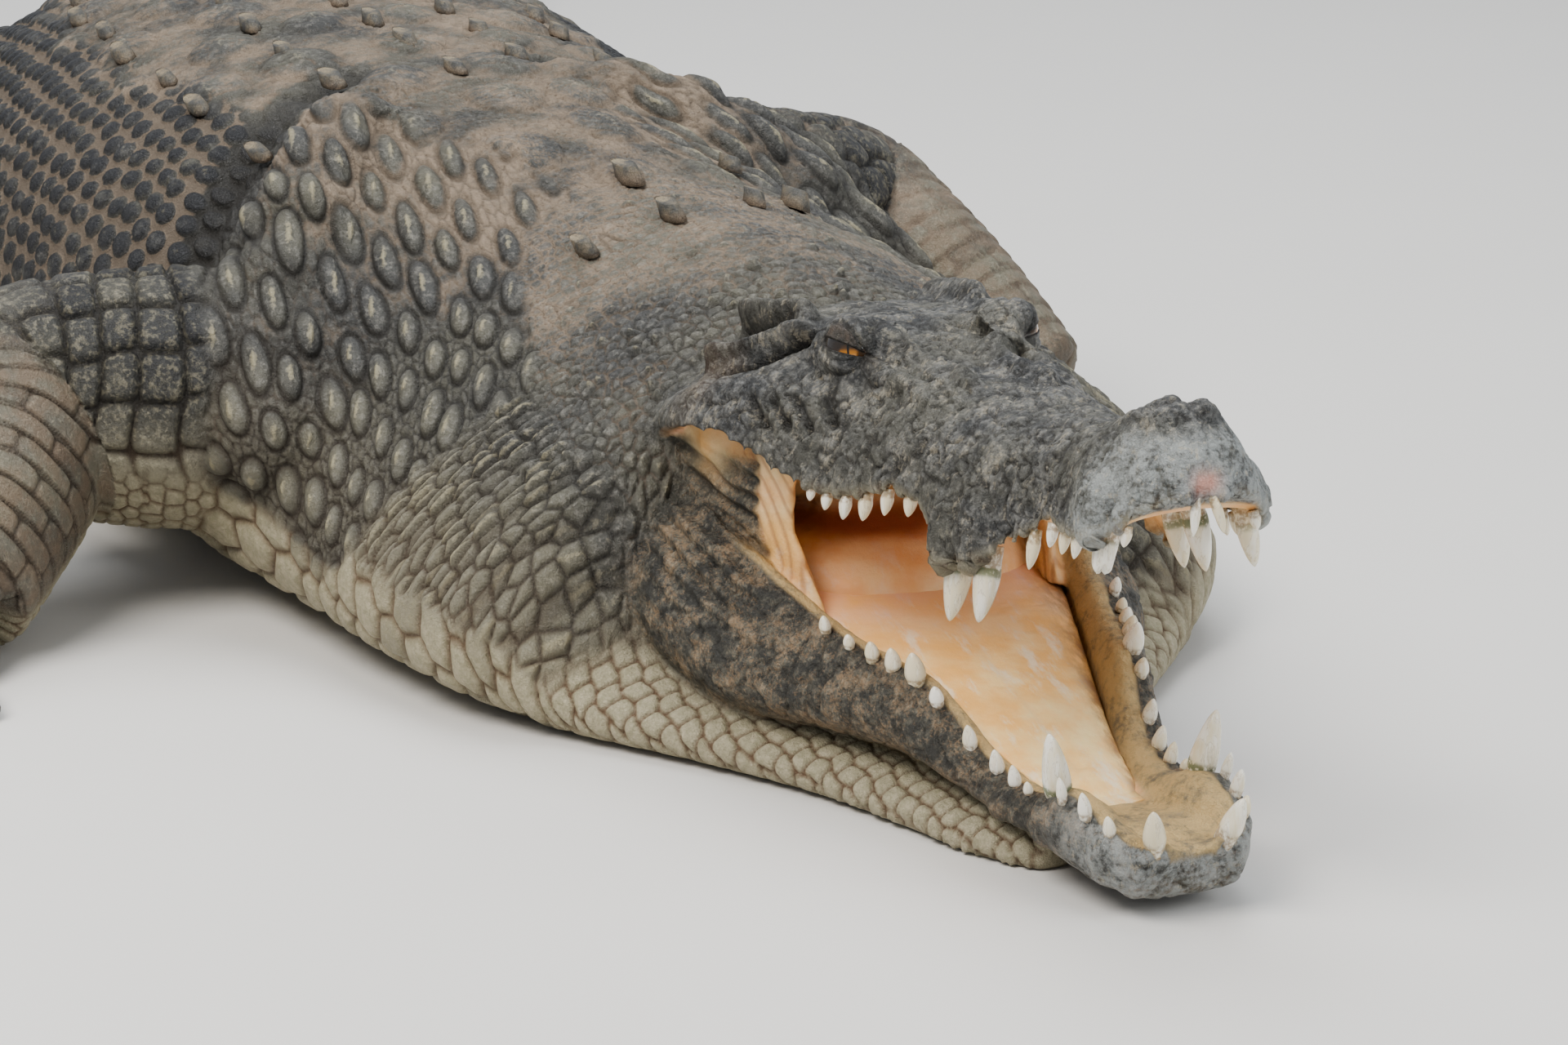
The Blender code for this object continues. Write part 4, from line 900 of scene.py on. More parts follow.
def skull_marks(points, normals):
    """The snout, brow, ear flaps, lips and palate of the upper jaw."""
    back, side, up = head_frame(points, HEAD_UP)
    aside = np.abs(side)
    place = np.stack([back, aside, up], -1)
    half, lip = along(SNOUT_WIDTH, back), along(UPPER_LIP, back)
    palate = (ramp(normals @ HEAD_AXES[2], -0.15, -0.5) * ramp(aside / half, 0.99, 0.88)
              * ramp(back, 1.05, 0.98) * ramp(up - lip - 0.055 * ramp(back, 0.1, 0.3), 0.03, 0.018)
              * ramp(back, 0.008, 0.03))
    skin = 1 - palate

    def line(path, width):
        return stroke(place, [(b, s, float(skull_height(b, s))) for b, s in path], width)

    rough = layered(points, 0.016, 5, 3)
    knobs, _, _, luck = cells(back / 0.034, np.sign(side) * (aside + 0.6 * up) / 0.034, 6, 0.7)
    crinkle = np.abs(layered(points, 0.009, 9, 2))
    wrinkle = np.abs(layered(points * (1.0, 1.6, 0.7), 0.02, 35, 2))
    plain = skin * (1 - 0.75 * bell(np.linalg.norm(place - (EYE_BACK, EYE_SIDE, EYE_UP), axis=1), 0.035))
    by_lip = 1 - 0.85 * ramp(up - lip, 0.035, 0.008) * ramp(back, 0.55, 0.66)
    calm = plain * (1 - 0.6 * ramp(back, 0.72, 0.8) * ramp(aside, 0.11, 0.13) * ramp(up, 0.1, 0.14)) * by_lip
    warts = (dome(knobs, 0.5) - 0.5) * ramp(luck, 0.35, 0.85) * ramp(back, 0.72, 0.55)
    lift = calm * (0.0016 * rough + 0.0048 * warts - 0.0012 * ramp(crinkle, 0.16, 0.0)
                   - 0.0022 * ramp(wrinkle, 0.12, 0.0) * ramp(back, 0.1, 0.25))
    for lines, way in ((RIDGES, 1), (GROOVES, -1)):
        for path, width, size in lines:
            lift = lift + way * size * line(path, width)
    face = skin * ramp(back, 0.64, 0.7) * ramp(up, 0.15, 0.1) * ramp(aside / half, 0.55, 0.8)
    folds = np.sin(2 * math.pi * (back + 0.25 * up + 0.012 * noise(points, 0.03, 7)) / 0.036)
    uneven = 0.5 + 0.5 * noise(points, 0.05, 57)
    lift = lift + 0.0042 * folds * face * ramp(back, 0.98, 0.9) * ramp(up - lip, 0.012, 0.05) * uneven
    # Painted shade: the ear slit, the hollow under the flap and the creases by the eye are painted dark.
    shade = np.maximum(line(EAR_SLIT, 0.0075), 0.8 * line(EAR_HOLLOW, 0.013))
    shade = np.maximum(shade, 0.6 * np.max([line(path, 0.006) for path in CREASES], 0))
    nostril = stroke(place, NOSTRIL, 0.009)
    lift = lift - 0.006 * nostril + 0.004 * stroke(place, NOSTRIL_RIM, 0.018)
    for b, length, radius, s, margin in tooth_places(UPPER_TEETH, SNOUT_WIDTH, UPPER_LIP):
        big = length > 0.055
        root = (b, s + radius * 1.6, margin + (0.06 if big else 0.02))
        lobe = stroke(place, ((b, s + radius, margin - 0.004), root), radius * (1.25 if big else 1.1))
        lift = lift + skin * (0.013 if big else 0.0045) * lobe
    arches = palate * 0.0012 * np.sin(2 * math.pi * back / 0.03)
    tip = ramp(back - 0.35 * (0.075 - up), 0.13, 0.03) * ramp(up, 0.125, 0.085) * skin
    rim = skin * ramp(up - lip, 0.022, 0.004) * ramp(aside / half, 0.8, 0.95) * ramp(back, 0.72, 0.62)
    sore = bell(np.linalg.norm(place - SNOUT_SORE, axis=1), 0.013)
    cracks = np.maximum(0.75 * ramp(crinkle, 0.12, 0.0), 0.85 * ramp(wrinkle, 0.1, 0.0))
    # The painted shade of slit, hollow and creases lowers the top mark and raises the black mark.
    return skin_marks(len(points), height=lift + arches, top=(1 - plain * cracks) * (1 - 0.9 * shade),
                      keel=0.3 * ramp(rough, 0.1, 0.7) * skin, face=skin, lining=palate,
                      pink=palate * (0.35 + 0.5 * ramp(back, 0.45, 0.8)) + 0.9 * sore, pale=0.5 * rim,
                      frost=tip, black=np.maximum(0.5 * nostril, 0.9 * shade))


def jaw_marks(points, normals):
    """The lower jaw: leathery sides, the shelf inside the teeth and the mouth's floor."""
    back, side, up = head_frame(points, -JAW_DOWN)
    place = np.stack([back, np.abs(side), up], -1)
    half = along(JAW_WIDTH, back)
    top, bottom = along(JAW_TOP, back), along(JAW_BOTTOM, back)
    inward = (half - np.abs(side)) / np.minimum(along(JAW_SHELF, back), 0.75 * half)
    upper = ramp(up, top - 0.4 * (top - bottom), top - 0.15 * (top - bottom))
    facing = ramp(normals[:, 2], -0.4, -0.15)
    upper = np.maximum(upper, ramp(inward, 0.45, 0.6) * facing * ramp(back, 0.06, 0.13))
    far = ramp(side, -0.01, 0.01)
    inside = ramp(inward, 0.3, 0.42) * upper * ramp(back, 0.86, 0.76)
    lining = (ramp(inward, 0.86 + 0.06 * far, 1.04 + 0.06 * far) * upper * ramp(back, 0.17, 0.26)
              * ramp(back, 0.9, 0.8))
    skin = 1 - inside
    rough = layered(points, 0.022, 15, 3)
    crease = np.abs(layered(points, 0.02, 19, 2))
    fine = np.abs(layered(points, 0.008, 39, 2))
    lift = (skin * (0.0022 * rough - 0.0016 * ramp(crease, 0.12, 0.0) - 0.0007 * ramp(fine, 0.15, 0.0))
            + inside * (0.0008 + 0.0012 * ramp(back, 0.25, 0.1)) * layered(points, 0.012, 16, 2))
    corner = stroke(place, ((1.0, 0.26, 0.02), (0.8, 0.25, 0.0)), 0.09)
    rise = up + 0.18 * (back - 0.85) ** 2 + 0.012 * noise(points, 0.05, 23)
    lift = lift + skin * corner * 0.0036 * np.sin(2 * math.pi * rise / 0.024)
    for b, _, radius, s, margin in tooth_places(LOWER_TEETH, JAW_WIDTH, JAW_TOP):
        collar = stroke(place, ((b, s, margin - 0.01), (b, s, margin + 0.006)), radius * 1.5)
        lift = lift + 0.0035 * collar
        if b < 0.3:
            lobe = stroke(place, ((b, s + 0.02, margin - 0.02), (b, s + 0.02, margin - 0.075)), 0.017)
            lift = lift + 0.005 * lobe * skin
    tip = ramp(back, 0.2, 0.02) * skin
    _, du, dv, luck = cells(back / 0.012, (up + side) / 0.012, 27, 0.9)
    pit = bell(np.hypot(du, dv), 0.16) * ramp(luck, 0.55, 0.7) * ramp(up, top - 0.09, top - 0.02) * skin
    cracks = skin * (0.5 * ramp(crease, 0.1, 0.0) + 0.25 * ramp(fine, 0.12, 0.0))
    return skin_marks(len(points), height=lift - 0.0012 * pit, top=1 - cracks - 0.6 * pit, jaw=skin,
                      lining=lining, shelf=inside * (1 - lining),
                      pink=lining * (0.25 * ramp(back, 0.55, 0.85) + 0.5 * far),
                      frost=tip, warm=0.55 * skin * ramp(up, bottom + 0.06, bottom + 0.01),
                      pale=0.2 * skin * ramp(up, bottom + 0.04, bottom))


def cheek_marks(points):
    """The corner of the mouth: folded jaw skin outside, a brown web above, the lining's rim in front."""
    x, z = points[:, 0], points[:, 2]
    front = cheek_front(z)
    stray = noise(points, 0.03, 33)
    fold = np.sin(2 * math.pi * (x * 0.9 + z * 0.5 + 0.006 * stray) / 0.011)
    long = np.sin(2 * math.pi * (z + 0.25 * x + 0.006 * stray) / 0.017)
    rim = ramp(x + 0.003 * stray, front - 0.04, front - 0.031)
    hide = ramp(z + 0.003 * stray, 0.236, 0.226) * (1 - rim)
    # The web's brown orange (warm) is partly its own colour and partly painted shade under the lip; its fold
    # troughs take painted shade through the top mark.
    return skin_marks(len(points), height=0.0009 * fold * (1 - 0.6 * rim) * (1 - hide) + 0.0032 * long * hide,
                      top=0.5 + 0.5 * ramp(np.where(hide > 0.5, long, fold), -1, -0.2),
                      lining=0.92 * (1 - hide), jaw=hide, pink=0.25 * rim,
                      warm=1.15 * (1 - rim) * (1 - hide), keel=0.2 * hide)


def gorge_marks(points):
    """The back of the mouth, with a red crease where its two folds meet, painted dark as shade; the upper
    fold is painted browner as shade.
    """
    level = points[:, 2] - 0.171 - 0.004 * noise(points, 0.04, 43)
    crease, above = bell(level, 0.007), ramp(level, 0.0, 0.012)
    lift = 0.0014 * layered(points, 0.022, 45, 3) - 0.005 * crease
    # Painted shade: the crease lowers the top mark, and the upper fold is made browner and less pink.
    return skin_marks(len(points), height=lift, top=1 - 0.95 * crease, lining=1,
                      pink=0.4 + 0.6 * crease - 0.2 * above, warm=0.45 * above)


# Blender meshes.

# The solids' own box, which every piece stays inside.
ROOM_LOW = np.array(SOLID_BOX[0]) + (0.0005, 0.0005, 0) - HINGE
ROOM_HIGH = np.array(SOLID_BOX[1]) - 0.0005 - HINGE

def mesh_piece(name, points, faces, finish, normals=None, marks=None):
    """A smooth mesh object at the origin from points given from the jaw hinge."""
    points = np.clip(points, ROOM_LOW, ROOM_HIGH)
    mesh = bpy.data.meshes.new(name)
    mesh.vertices.add(len(points))
    mesh.vertices.foreach_set("co", (points + HINGE).astype(np.float32).ravel())
    mesh.loops.add(3 * len(faces))
    mesh.loops.foreach_set("vertex_index", faces.astype(np.int32).ravel())
    mesh.polygons.add(len(faces))
    mesh.polygons.foreach_set("loop_start", 3 * np.arange(len(faces), dtype=np.int32))
    mesh.update(calc_edges=True)
    mesh.polygons.foreach_set("use_smooth", np.ones(len(faces), bool))
    for title, values in (marks or {}).items():
        layer = mesh.attributes.new(title, "FLOAT_COLOR", "POINT")
        packed = np.ones((len(points), 4), np.float32)
        packed[:, :values.shape[1]] = values
        layer.data.foreach_set("color", packed.ravel())
    if normals is not None:
        mesh.normals_split_custom_set_from_vertices(normals.astype(np.float32).tolist())
    if finish:
        mesh.materials.append(finish)
    made = bpy.data.objects.new(name, mesh)
    bpy.context.scene.collection.objects.link(made)
    return made


def finished(piece, slot, *nodes):
    """Rides a piece on the animal, in place of the solids that it stands for."""
    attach(piece, "root")
    if nodes:
        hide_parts(*nodes)


class Painter:
    """Short ways to add and join nodes in one tree."""

    def __init__(self, tree):
        self.tree = tree

    def node(self, kind, *values, **settings):
        """A node with its settings, and its inputs filled in their own order."""
        made = self.tree.nodes.new(kind)
        for key, value in settings.items():
            setattr(made, key, value)
        for socket, value in zip(made.inputs, values):
            self.put(value, socket)
        return made

    def named(self, kind, given, **settings):
        """A node whose inputs are filled by name."""
        made = self.node(kind, **settings)
        for name, value in given.items():
            self.put(value, made.inputs[name])
        return made

    def put(self, value, socket):
        if isinstance(value, bpy.types.NodeSocket):
            self.tree.links.new(value, socket)
        elif value is not None:
            if isinstance(value, (tuple, list)) and len(value) == 3 and socket.type == "RGBA":
                value = (*value, 1)
            socket.default_value = value

    def math(self, operation, a, b=None, clamp=False):
        return self.node("ShaderNodeMath", a, b, operation=operation, use_clamp=clamp).outputs[0]

    def plus(self, a, b, clamp=False):
        return self.math("ADD", a, b, clamp)

    def rest(self, value):
        """What is left of one."""
        return self.math("SUBTRACT", 1.0, value)

    def times(self, *factors):
        result = factors[0]
        for factor in factors[1:]:
            result = self.math("MULTIPLY", result, factor)
        return result

    def scaled(self, vector, factor):
        made = self.node("ShaderNodeVectorMath", vector, operation="SCALE")
        self.put(factor, made.inputs["Scale"])
        return made.outputs[0]

    def step(self, value, low, high):
        """A smooth rise from 0 at low to 1 at high."""
        given = {"Value": value, "From Min": low, "From Max": high, "To Min": 0.0, "To Max": 1.0}
        return self.named("ShaderNodeMapRange", given, interpolation_type="SMOOTHSTEP").outputs["Result"]

    def mix(self, factor, a, b):
        made = self.node("ShaderNodeMix", data_type="RGBA", blend_type="MIX", clamp_factor=True)
        for index, value in ((0, factor), (6, a), (7, b)):
            self.put(value, made.inputs[index])
        return made.outputs[2]

    def place(self):
        """Where a point is on the object."""
        return self.node("ShaderNodeTexCoord").outputs["Object"]

    def noise(self, where, scale, detail=4.0, rough=0.55, stretch=None):
        if stretch:
            where = self.node("ShaderNodeMapping", where, None, None, stretch).outputs[0]
        given = {"Vector": where, "Scale": scale, "Detail": detail, "Roughness": rough}
        return self.named("ShaderNodeTexNoise", given).outputs["Fac"]

    def marks(self, title):
        """The three values that the mesh carries under a title."""
        stored = self.node("ShaderNodeAttribute", attribute_name=title).outputs["Color"]
        return self.node("ShaderNodeSeparateColor", stored).outputs[:3]


def add_sockets(tree, way, kind, *names):
    for name in names:
        tree.interface.new_socket(name, in_out=way, socket_type=f"NodeSocket{kind}")


def melted(forms, size):
    """One closed skin over all the forms: its points, triangles and way from each named form."""
    helpers = {name: mesh_piece(f"form_{name}", *form, None) for name, form in forms.items()}
    whole = mesh_piece("whole_form", *merged(list(forms.values())), None)
    step = whole.modifiers.new("melt", "REMESH")
    step.mode, step.voxel_size = "VOXEL", size
    tree = bpy.data.node_groups.new("nearness", "GeometryNodeTree")
    for way in ("INPUT", "OUTPUT"):
        add_sockets(tree, way, "Geometry", "Geometry")
    p = Painter(tree)
    last = p.node("NodeGroupInput").outputs[0]
    for name, helper in helpers.items():
        info = p.named("GeometryNodeObjectInfo", {"Object": helper})
        near = p.node("GeometryNodeProximity", info.outputs["Geometry"], target_element="FACES")
        given = {"Geometry": last, "Name": f"near_{name}", "Value": near.outputs["Distance"]}
        last = p.named("GeometryNodeStoreNamedAttribute", given, data_type="FLOAT", domain="POINT").outputs[0]
    p.node("NodeGroupOutput", last)
    whole.modifiers.new("nearness", "NODES").node_group = tree
    graph = bpy.context.evaluated_depsgraph_get()
    mesh = bpy.data.meshes.new_from_object(whole.evaluated_get(graph))
    count = len(mesh.vertices)
    points = np.empty(count * 3, np.float32)
    mesh.vertices.foreach_get("co", points)
    corners = np.empty(len(mesh.loops), np.int32)
    mesh.loops.foreach_get("vertex_index", corners)
    quads = corners.reshape(-1, 4)
    nearness = np.empty((len(forms), count), np.float32)
    for row, name in zip(nearness, forms):
        mesh.attributes[f"near_{name}"].data.foreach_get("value", row)
    for helper in (whole, *helpers.values()):
        used = helper.data
        bpy.data.objects.remove(helper)
        bpy.data.meshes.remove(used)
    bpy.data.meshes.remove(mesh)
    bpy.data.node_groups.remove(tree)
    points = points.reshape(-1, 3).astype(float) - HINGE
    first, second = (np.linalg.norm(points[quads[:, a]] - points[quads[:, b]], axis=1)
                     for a, b in ((0, 2), (1, 3)))
    quads = np.where((first > second)[:, None], np.roll(quads, -1, 1), quads)
    faces = np.concatenate([quads[:, [0, 1, 2]], quads[:, [0, 2, 3]]]).astype(np.int64)
    return points, faces, nearness.T.astype(float)


def hide_forms():
    """Every form that the skin covers, by name."""
    orbits = [ball(head_place(0.722, side * 0.107, 0.155, HEAD_UP), (0.05, 0.031, 0.031), HEAD_AXES)
              for side in SIDES.values()]
    forms = {"head": merged([loft([skull_ring(b) for b in np.linspace(-0.015, 1.06, 130)])] + orbits),
             "jaw": loft([jaw_ring(b) for b in np.linspace(0.003, JAW_END, 120)]),
             "cheek": merged([loft(cheek_rings(side)) for side in SIDES.values()]), "gorge": gorge_form()}
    humps = []
    for side in SIDES.values():
        for at, aside, size in SHOULDER:
            place, _, _, normal = body_place(at, side * aside)
            humps.append(ball(place[0] - 0.012 * normal[0], np.full(3, size)))
    forms["body"] = merged([loft(body_rings())] + humps)
    paws = []
    for plans, kind, radii, plan in ((FORELEG, "arm", FORE_RADII, HAND), (HINDLEG, "leg", HIND_RADII, FOOT)):
        for name, (joints, toes) in plans.items():
            path = limb_path(joints, radii)
            forms[f"{kind}_{name}"] = loft(limb_rings(*path)[0])
            paws += paw_forms(plan, joints[2], toes)[0]
    forms["paws"] = merged(paws)
    return forms


# The head's own axes: ahead, to the left and up.
PITCH = math.radians(HEAD_UP)
HEAD_AXES = np.array(((math.cos(PITCH), 0, math.sin(PITCH)), (0, 1, 0),
                      (-math.sin(PITCH), 0, math.cos(PITCH))))
LID_REACH = 66


def unit(vector):
    return vector / np.linalg.norm(vector)


def lids(points, side):
    """Draws the skin round an eyeball into lids with a narrow opening. Angles are in degrees."""
    centre = head_place(EYE_BACK, side * EYE_SIDE, EYE_UP, HEAD_UP)
    radius = EYE_RADIUS * SKULL
    off = points - centre
    reach = np.linalg.norm(off, axis=1)
    near = np.nonzero(reach < 2.2 * radius)[0]
    off, reach = off[near], reach[near]
    forward, aside = (0.7, 0.67) if side < 0 else (0.4, 0.88)
    out = unit(HEAD_AXES.T @ np.array((forward, side * aside, 0.22)))
    ahead = unit(HEAD_AXES[0] - (HEAD_AXES[0] @ out) * out)
    above = np.cross(out, ahead) * -side
    way = off / reach[:, None]
    facing = way @ out
    across = np.degrees(np.arctan2(way @ ahead, np.maximum(facing, 1e-3)))
    rise = np.degrees(np.arcsin(np.clip(way @ above, -1, 1)))
    span = np.clip(1 - (across / LID_REACH) ** 2, 0, 1)
    upper, lower = 6 * span**0.6 - 0.16 * across, -12 * span**0.4 - 0.05 * across
    inside = np.minimum(np.minimum(upper - rise, rise - lower), LID_REACH - np.abs(across))
    shut = ramp(inside, 2.5, -1.5)
    over = ramp(rise - upper, -1, 2)
    angles = np.stack([across, rise, 0 * rise], -1)
    hood = stroke(angles, ((-60, 14, 0), (-44, 40, 0), (-18, 48, 0), (16, 30, 0), (62, -8, 0)), 4.5)
    under = stroke(angles, ((-55, -20, 0), (-20, -32, 0), (30, -27, 0)), 5)
    thick = 0.0012 + 0.0035 * ramp(inside, -4, -30) + 0.0014 * over * ramp(inside, 1, -3)
    wanted, sunk = radius + thick - 0.0028 * hood - 0.0016 * under, 0.80 * radius
    wanted = np.where(shut > 0, shut * wanted + (1 - shut) * sunk, sunk)
    hold = ramp(facing, 0.1, 0.4)
    points = points.copy()
    points[near] = centre + way * (reach * (1 - hold) + wanted * hold)[:, None]
    # Painted shade along the opening of the lids and along the fold over the eye.
    rim_shade, cover, hooded = np.zeros((3, len(points)))
    rim_shade[near] = hold * np.maximum(ramp(np.abs(inside + 1), 6, 2), hood)
    cover[near] = hold
    below_brow = ramp(rise - 44 + 0.014 * (across + 18) ** 2, 4, -4)
    hooded[near] = hold * ramp(rise - lower, -5, 0) * np.maximum(below_brow, ramp(inside, -10, -4))
    return points, rim_shade, cover, hooded


def marks_of(name, points, normals):
    """The marks on the skin of one form."""
    plain = {"body": body_marks, "cheek": cheek_marks, "gorge": gorge_marks, "paws": paw_marks}
    facing = {"head": skull_marks, "jaw": jaw_marks}
    if name in plain:
        return plain[name](points)
    if name in facing:
        return facing[name](points, normals)
    kind, which = name.split("_")
    plans, radii = (FORELEG, FORE_RADII) if kind == "arm" else (HINDLEG, HIND_RADII)
    dusty = 0.45 if which == "right" else 0.85
    return limb_marks(points, limb_path(plans[which][0], radii), kind == "leg", dusty)


def shared_out(near):
    """Each form's share of the skin at each point, from the way to it."""
    shares = np.exp(-near / 0.005)
    shares /= shares.sum(1)[:, None]
    shares[shares < 0.01] = 0
    return shares / shares.sum(1)[:, None]


def build_hide(sizes, finish):
    forms = hide_forms()
    names = list(forms)
    limbs = [name for name in names if name[:3] in ("arm", "leg")]
    points, faces, near = melted(forms, sizes.skin_size)
    points = eased(points, faces, np.full(len(points), 0.5), 2)
    x, _, z = points.T
    way_to = dict(zip(names, near.T))
    # The skin is smoothed where forms meet, over the shoulder, along the jowl and at the wrists.
    at, body, sleeves = body_frame(points)[0], way_to["body"], np.min([way_to[name] for name in limbs], 0)
    joint = ramp(np.maximum(np.minimum(sleeves, way_to["paws"]), body), 0.05, 0.012)
    nape = ramp(np.maximum(way_to["head"], body), 0.04, 0.01) * ramp(z, 0.2, 0.25)
    hump = ramp(np.abs(at - 0.5), 0.26, 0.16) * ramp(z, 0.12, 0.2) * ramp(body, 0.01, 0.004)
    jowl = ramp(way_to["jaw"] + body, 0.012, 0.002) * ramp(x, 0.09, 0.03) * ramp(x, -0.2, -0.1)
    wrist = ramp(np.maximum(sleeves, way_to["paws"]), 0.05, 0.015)
    points = eased(points, faces, 0.5 * np.max((joint, nape, hump, jowl, wrist), 0), 30)
    # It is twice as fine on the head and the near front, and again by the eyes and at the snout's tip.
    x, y, z = points.T
    front = (x > -0.58) & (z > 0.014) & ((y < 0.1) | (x > -0.04))
    points, faces, near = refined(points, faces, near, front)
    eyes = [head_place(EYE_BACK, side * EYE_SIDE, EYE_UP, HEAD_UP) for side in SIDES.values()]
    by_eye = np.min([np.linalg.norm(points - eye, axis=1) for eye in eyes], 0)
    back, _, up = head_frame(points, HEAD_UP)
    snout = (back < 0.3) & (up < 0.06) & (near[:, names.index("head")] < 0.004)
    points, faces, near = refined(points, faces, near, (by_eye < 0.042) | snout)
    bare = point_normals(points, faces)
    lid_rim_shade, lidded, hooded = np.zeros((3, len(points)))
    for side in SIDES.values():
        points, rim, cover, hood = lids(points, side)
        lid_rim_shade, lidded, hooded = np.maximum(lid_rim_shade, rim), np.maximum(lidded, cover), np.maximum(hooded, hood)
    # Cheek and limbs give way to the jaw and the body where their forms reach inside them.
    way_to = dict(zip(names, near.T))
    way_to["cheek"] += 0.03 * ramp(points[:, 2], 0.222, 0.245)
    at, aside, _, _ = body_frame(points)
    for name in limbs:
        way_to[name] += 0.03 * ramp(np.abs(aside) / along(BODY_WIDTH, at), 1.1, 1.0)
    shares = shared_out(near)
    total = np.zeros((len(CHANNELS), len(points)))
    for share, name in zip(shares.T, names):
        here = np.nonzero(share)[0]
        total[:, here] += share[here] * marks_of(name, points[here], bare[here])
    row = dict(zip(CHANNELS, total))
    # Relief lifts the skin, less on the lids and not where it rests on the ground.
    height = row["height"] * sizes.relief * (1 - 0.92 * lidded)
    under = ramp(points[:, 2], 0.0005, 0.012)
    points = points + bare * (height * np.where(bare[:, 2] < -0.5, under, 1))[:, None]
    points[:, 2] = np.maximum(points[:, 2], 0)
    # Painted shade at the lids' rims: the top mark falls there, and the finish darkens it.
    row["top"][:] = np.clip(row["top"] * (1 - 0.7 * lid_rim_shade), 0, 1)
    for channel, share in (("black", 0.72), ("warm", 0.3)):
        row[channel][:] = np.maximum(row[channel], share * hooded)
    for channel in ("face", "keel", "dust"):
        row[channel] *= 1 - 0.85 * hooded
    titles = ("form", "cover", "mouth", "face")
    packed = {title: total[3 * k + 1:3 * k + 4].T for k, title in enumerate(titles)}
    part_hide(points, faces, point_normals(points, faces), packed, shares, names, finish)


def part_hide(points, faces, normals, packed, shares, names, finish):
    """Parts the skin into pieces that meet edge to edge, each in place of its solids."""
    solids = {"head": ("head", "mouth_corner_left", "mouth_corner_right"), "jaw": ("lower_jaw",)}
    solids.update({name: (name,) for name in BODY_PARTS})
    for side in SIDES:
        solids[f"arm_{side}"] = (f"upper_arm_{side}", f"forearm_{side}", f"hand_{side}")
        solids[f"leg_{side}"] = (f"thigh_{side}", f"shank_{side}", f"foot_{side}")
    titles = list(solids)
    joined = {"cheek": "head", "gorge": "head", "body": "neck", "paws": "neck"}
    best = np.argmax(shares, 1)
    label = np.array([titles.index(joined.get(name, name)) for name in names])[best]
    of_body, of_paw = best == names.index("body"), best == names.index("paws")
    label[of_body] = np.searchsorted(BODY_CUTS, body_frame(points)[0][of_body]) + titles.index("throat")
    paws = np.array([titles.index(f"{limb}_{side}") for limb in ("arm", "leg") for side in SIDES])
    which = np.where(points[:, 0] > BETWEEN_LIMBS, 0, 1) * 2 + (points[:, 1] > 0)
    label[of_paw] = paws[which[of_paw]]
    face_label = label[faces[:, 0]]
    for number, title in enumerate(titles):
        own = np.nonzero(face_label == number)[0]
        parts = max(1, math.ceil(len(own) / PIECE_LIMIT))
        own = own[np.argsort(points[faces[own, 0], 0], kind="stable")]
        for part, some in enumerate(np.array_split(own, parts)):
            used, corners = np.unique(faces[some], return_inverse=True)
            name = f"{title}_hide" + (f"_{part + 1}" if parts > 1 else "")
            piece = mesh_piece(name, points[used], corners.reshape(-1, 3), finish, normals[used],
                               {key: value[used] for key, value in packed.items()})
            slot = "throat_skin" if title == "throat" else "hide"
            finished(piece, slot, *(solids[title] if part == 0 else ()))


# Pieces of their own.

TOOTH_STEPS = np.array((-0.35, -0.12, 0.0, 0.12, 0.25, 0.38, 0.5, 0.62, 0.73, 0.83, 0.91, 0.965, 0.993))
CLAW_STEPS = np.array((-0.28, -0.1, 0.05, 0.2, 0.35, 0.5, 0.65, 0.78, 0.88, 0.95, 0.99))


def tooth_forms(table, width, margin, pitch, way):
    """Curved, slightly keeled teeth, with the share of the way up each and its size."""
    forms, marks = [], []
    steps, count = TOOTH_STEPS, 24
    t = np.clip(steps, 0, 1)
    turn = circle(count)
    keel = 1 + 0.07 * np.abs(np.cos(turn)) ** 10
    for side in SIDES.values():
        for number, (back, length, radius) in enumerate(table):
            broken = way < 0 and side < 0 and number == BROKEN_TOOTH[0]
            if way < 0 and side > 0 and number in FAR_TEETH:
                back, length, radius = FAR_TEETH[number]
            aside, edge = tooth_side(back, radius, width), along(margin, back)
            root = head_place(back, side * aside, edge + 0.002 * way, pitch)
            tip = head_place(back - (0.25 if back < 0.03 else 0), side * (aside + 0.22), edge + way, pitch)
            out, behind = unit(tip - root), unit(head_place(back + 1, side * aside, edge, pitch) - root)
            across = unit(np.cross(out, behind))
            back_way = np.cross(across, out)
            tall, wide = length * (BROKEN_TOOTH[1] if broken else 1) * SKULL, radius * SKULL
            reach = root + out * (tall * steps)[:, None] + behind * (0.1 * tall * t**2)[:, None]
            size = wide * (0.93 - 0.25 * t if broken else (1 - t**1.9) ** 0.65 * (1 - 0.1 * bell(t, 0.1)))
            if broken:
                size = np.where(steps > 0.95, 0.35 * wide, np.where(steps > 0.9, 0.6 * wide, size))
            spokes = across * 0.92 * np.sin(turn)[:, None] + back_way * np.cos(turn)[:, None]
            rings = reach[:, None] + (size[:, None] * keel)[..., None] * spokes
            if broken:
                jag = out * (0.12 * tall * np.sin(3 * turn + 1))[:, None]
                rings = rings + jag * ramp(steps, 0.5, 0.9)[:, None, None]
            forms.append(loft(rings))
            share = np.clip(np.concatenate([np.repeat(steps, count), steps[[0, -1]]]), 0, 1)
            luck = float(chance(np.float64(number), np.float64(side + way * 3), seed=4))
            large = ramp(length, 0.045, 0.075) * (0.4 if broken else 1)
            marks.append(np.stack([share, np.full(len(share), luck), np.full(len(share), large)], -1))
    return merged(forms), np.concatenate(marks)


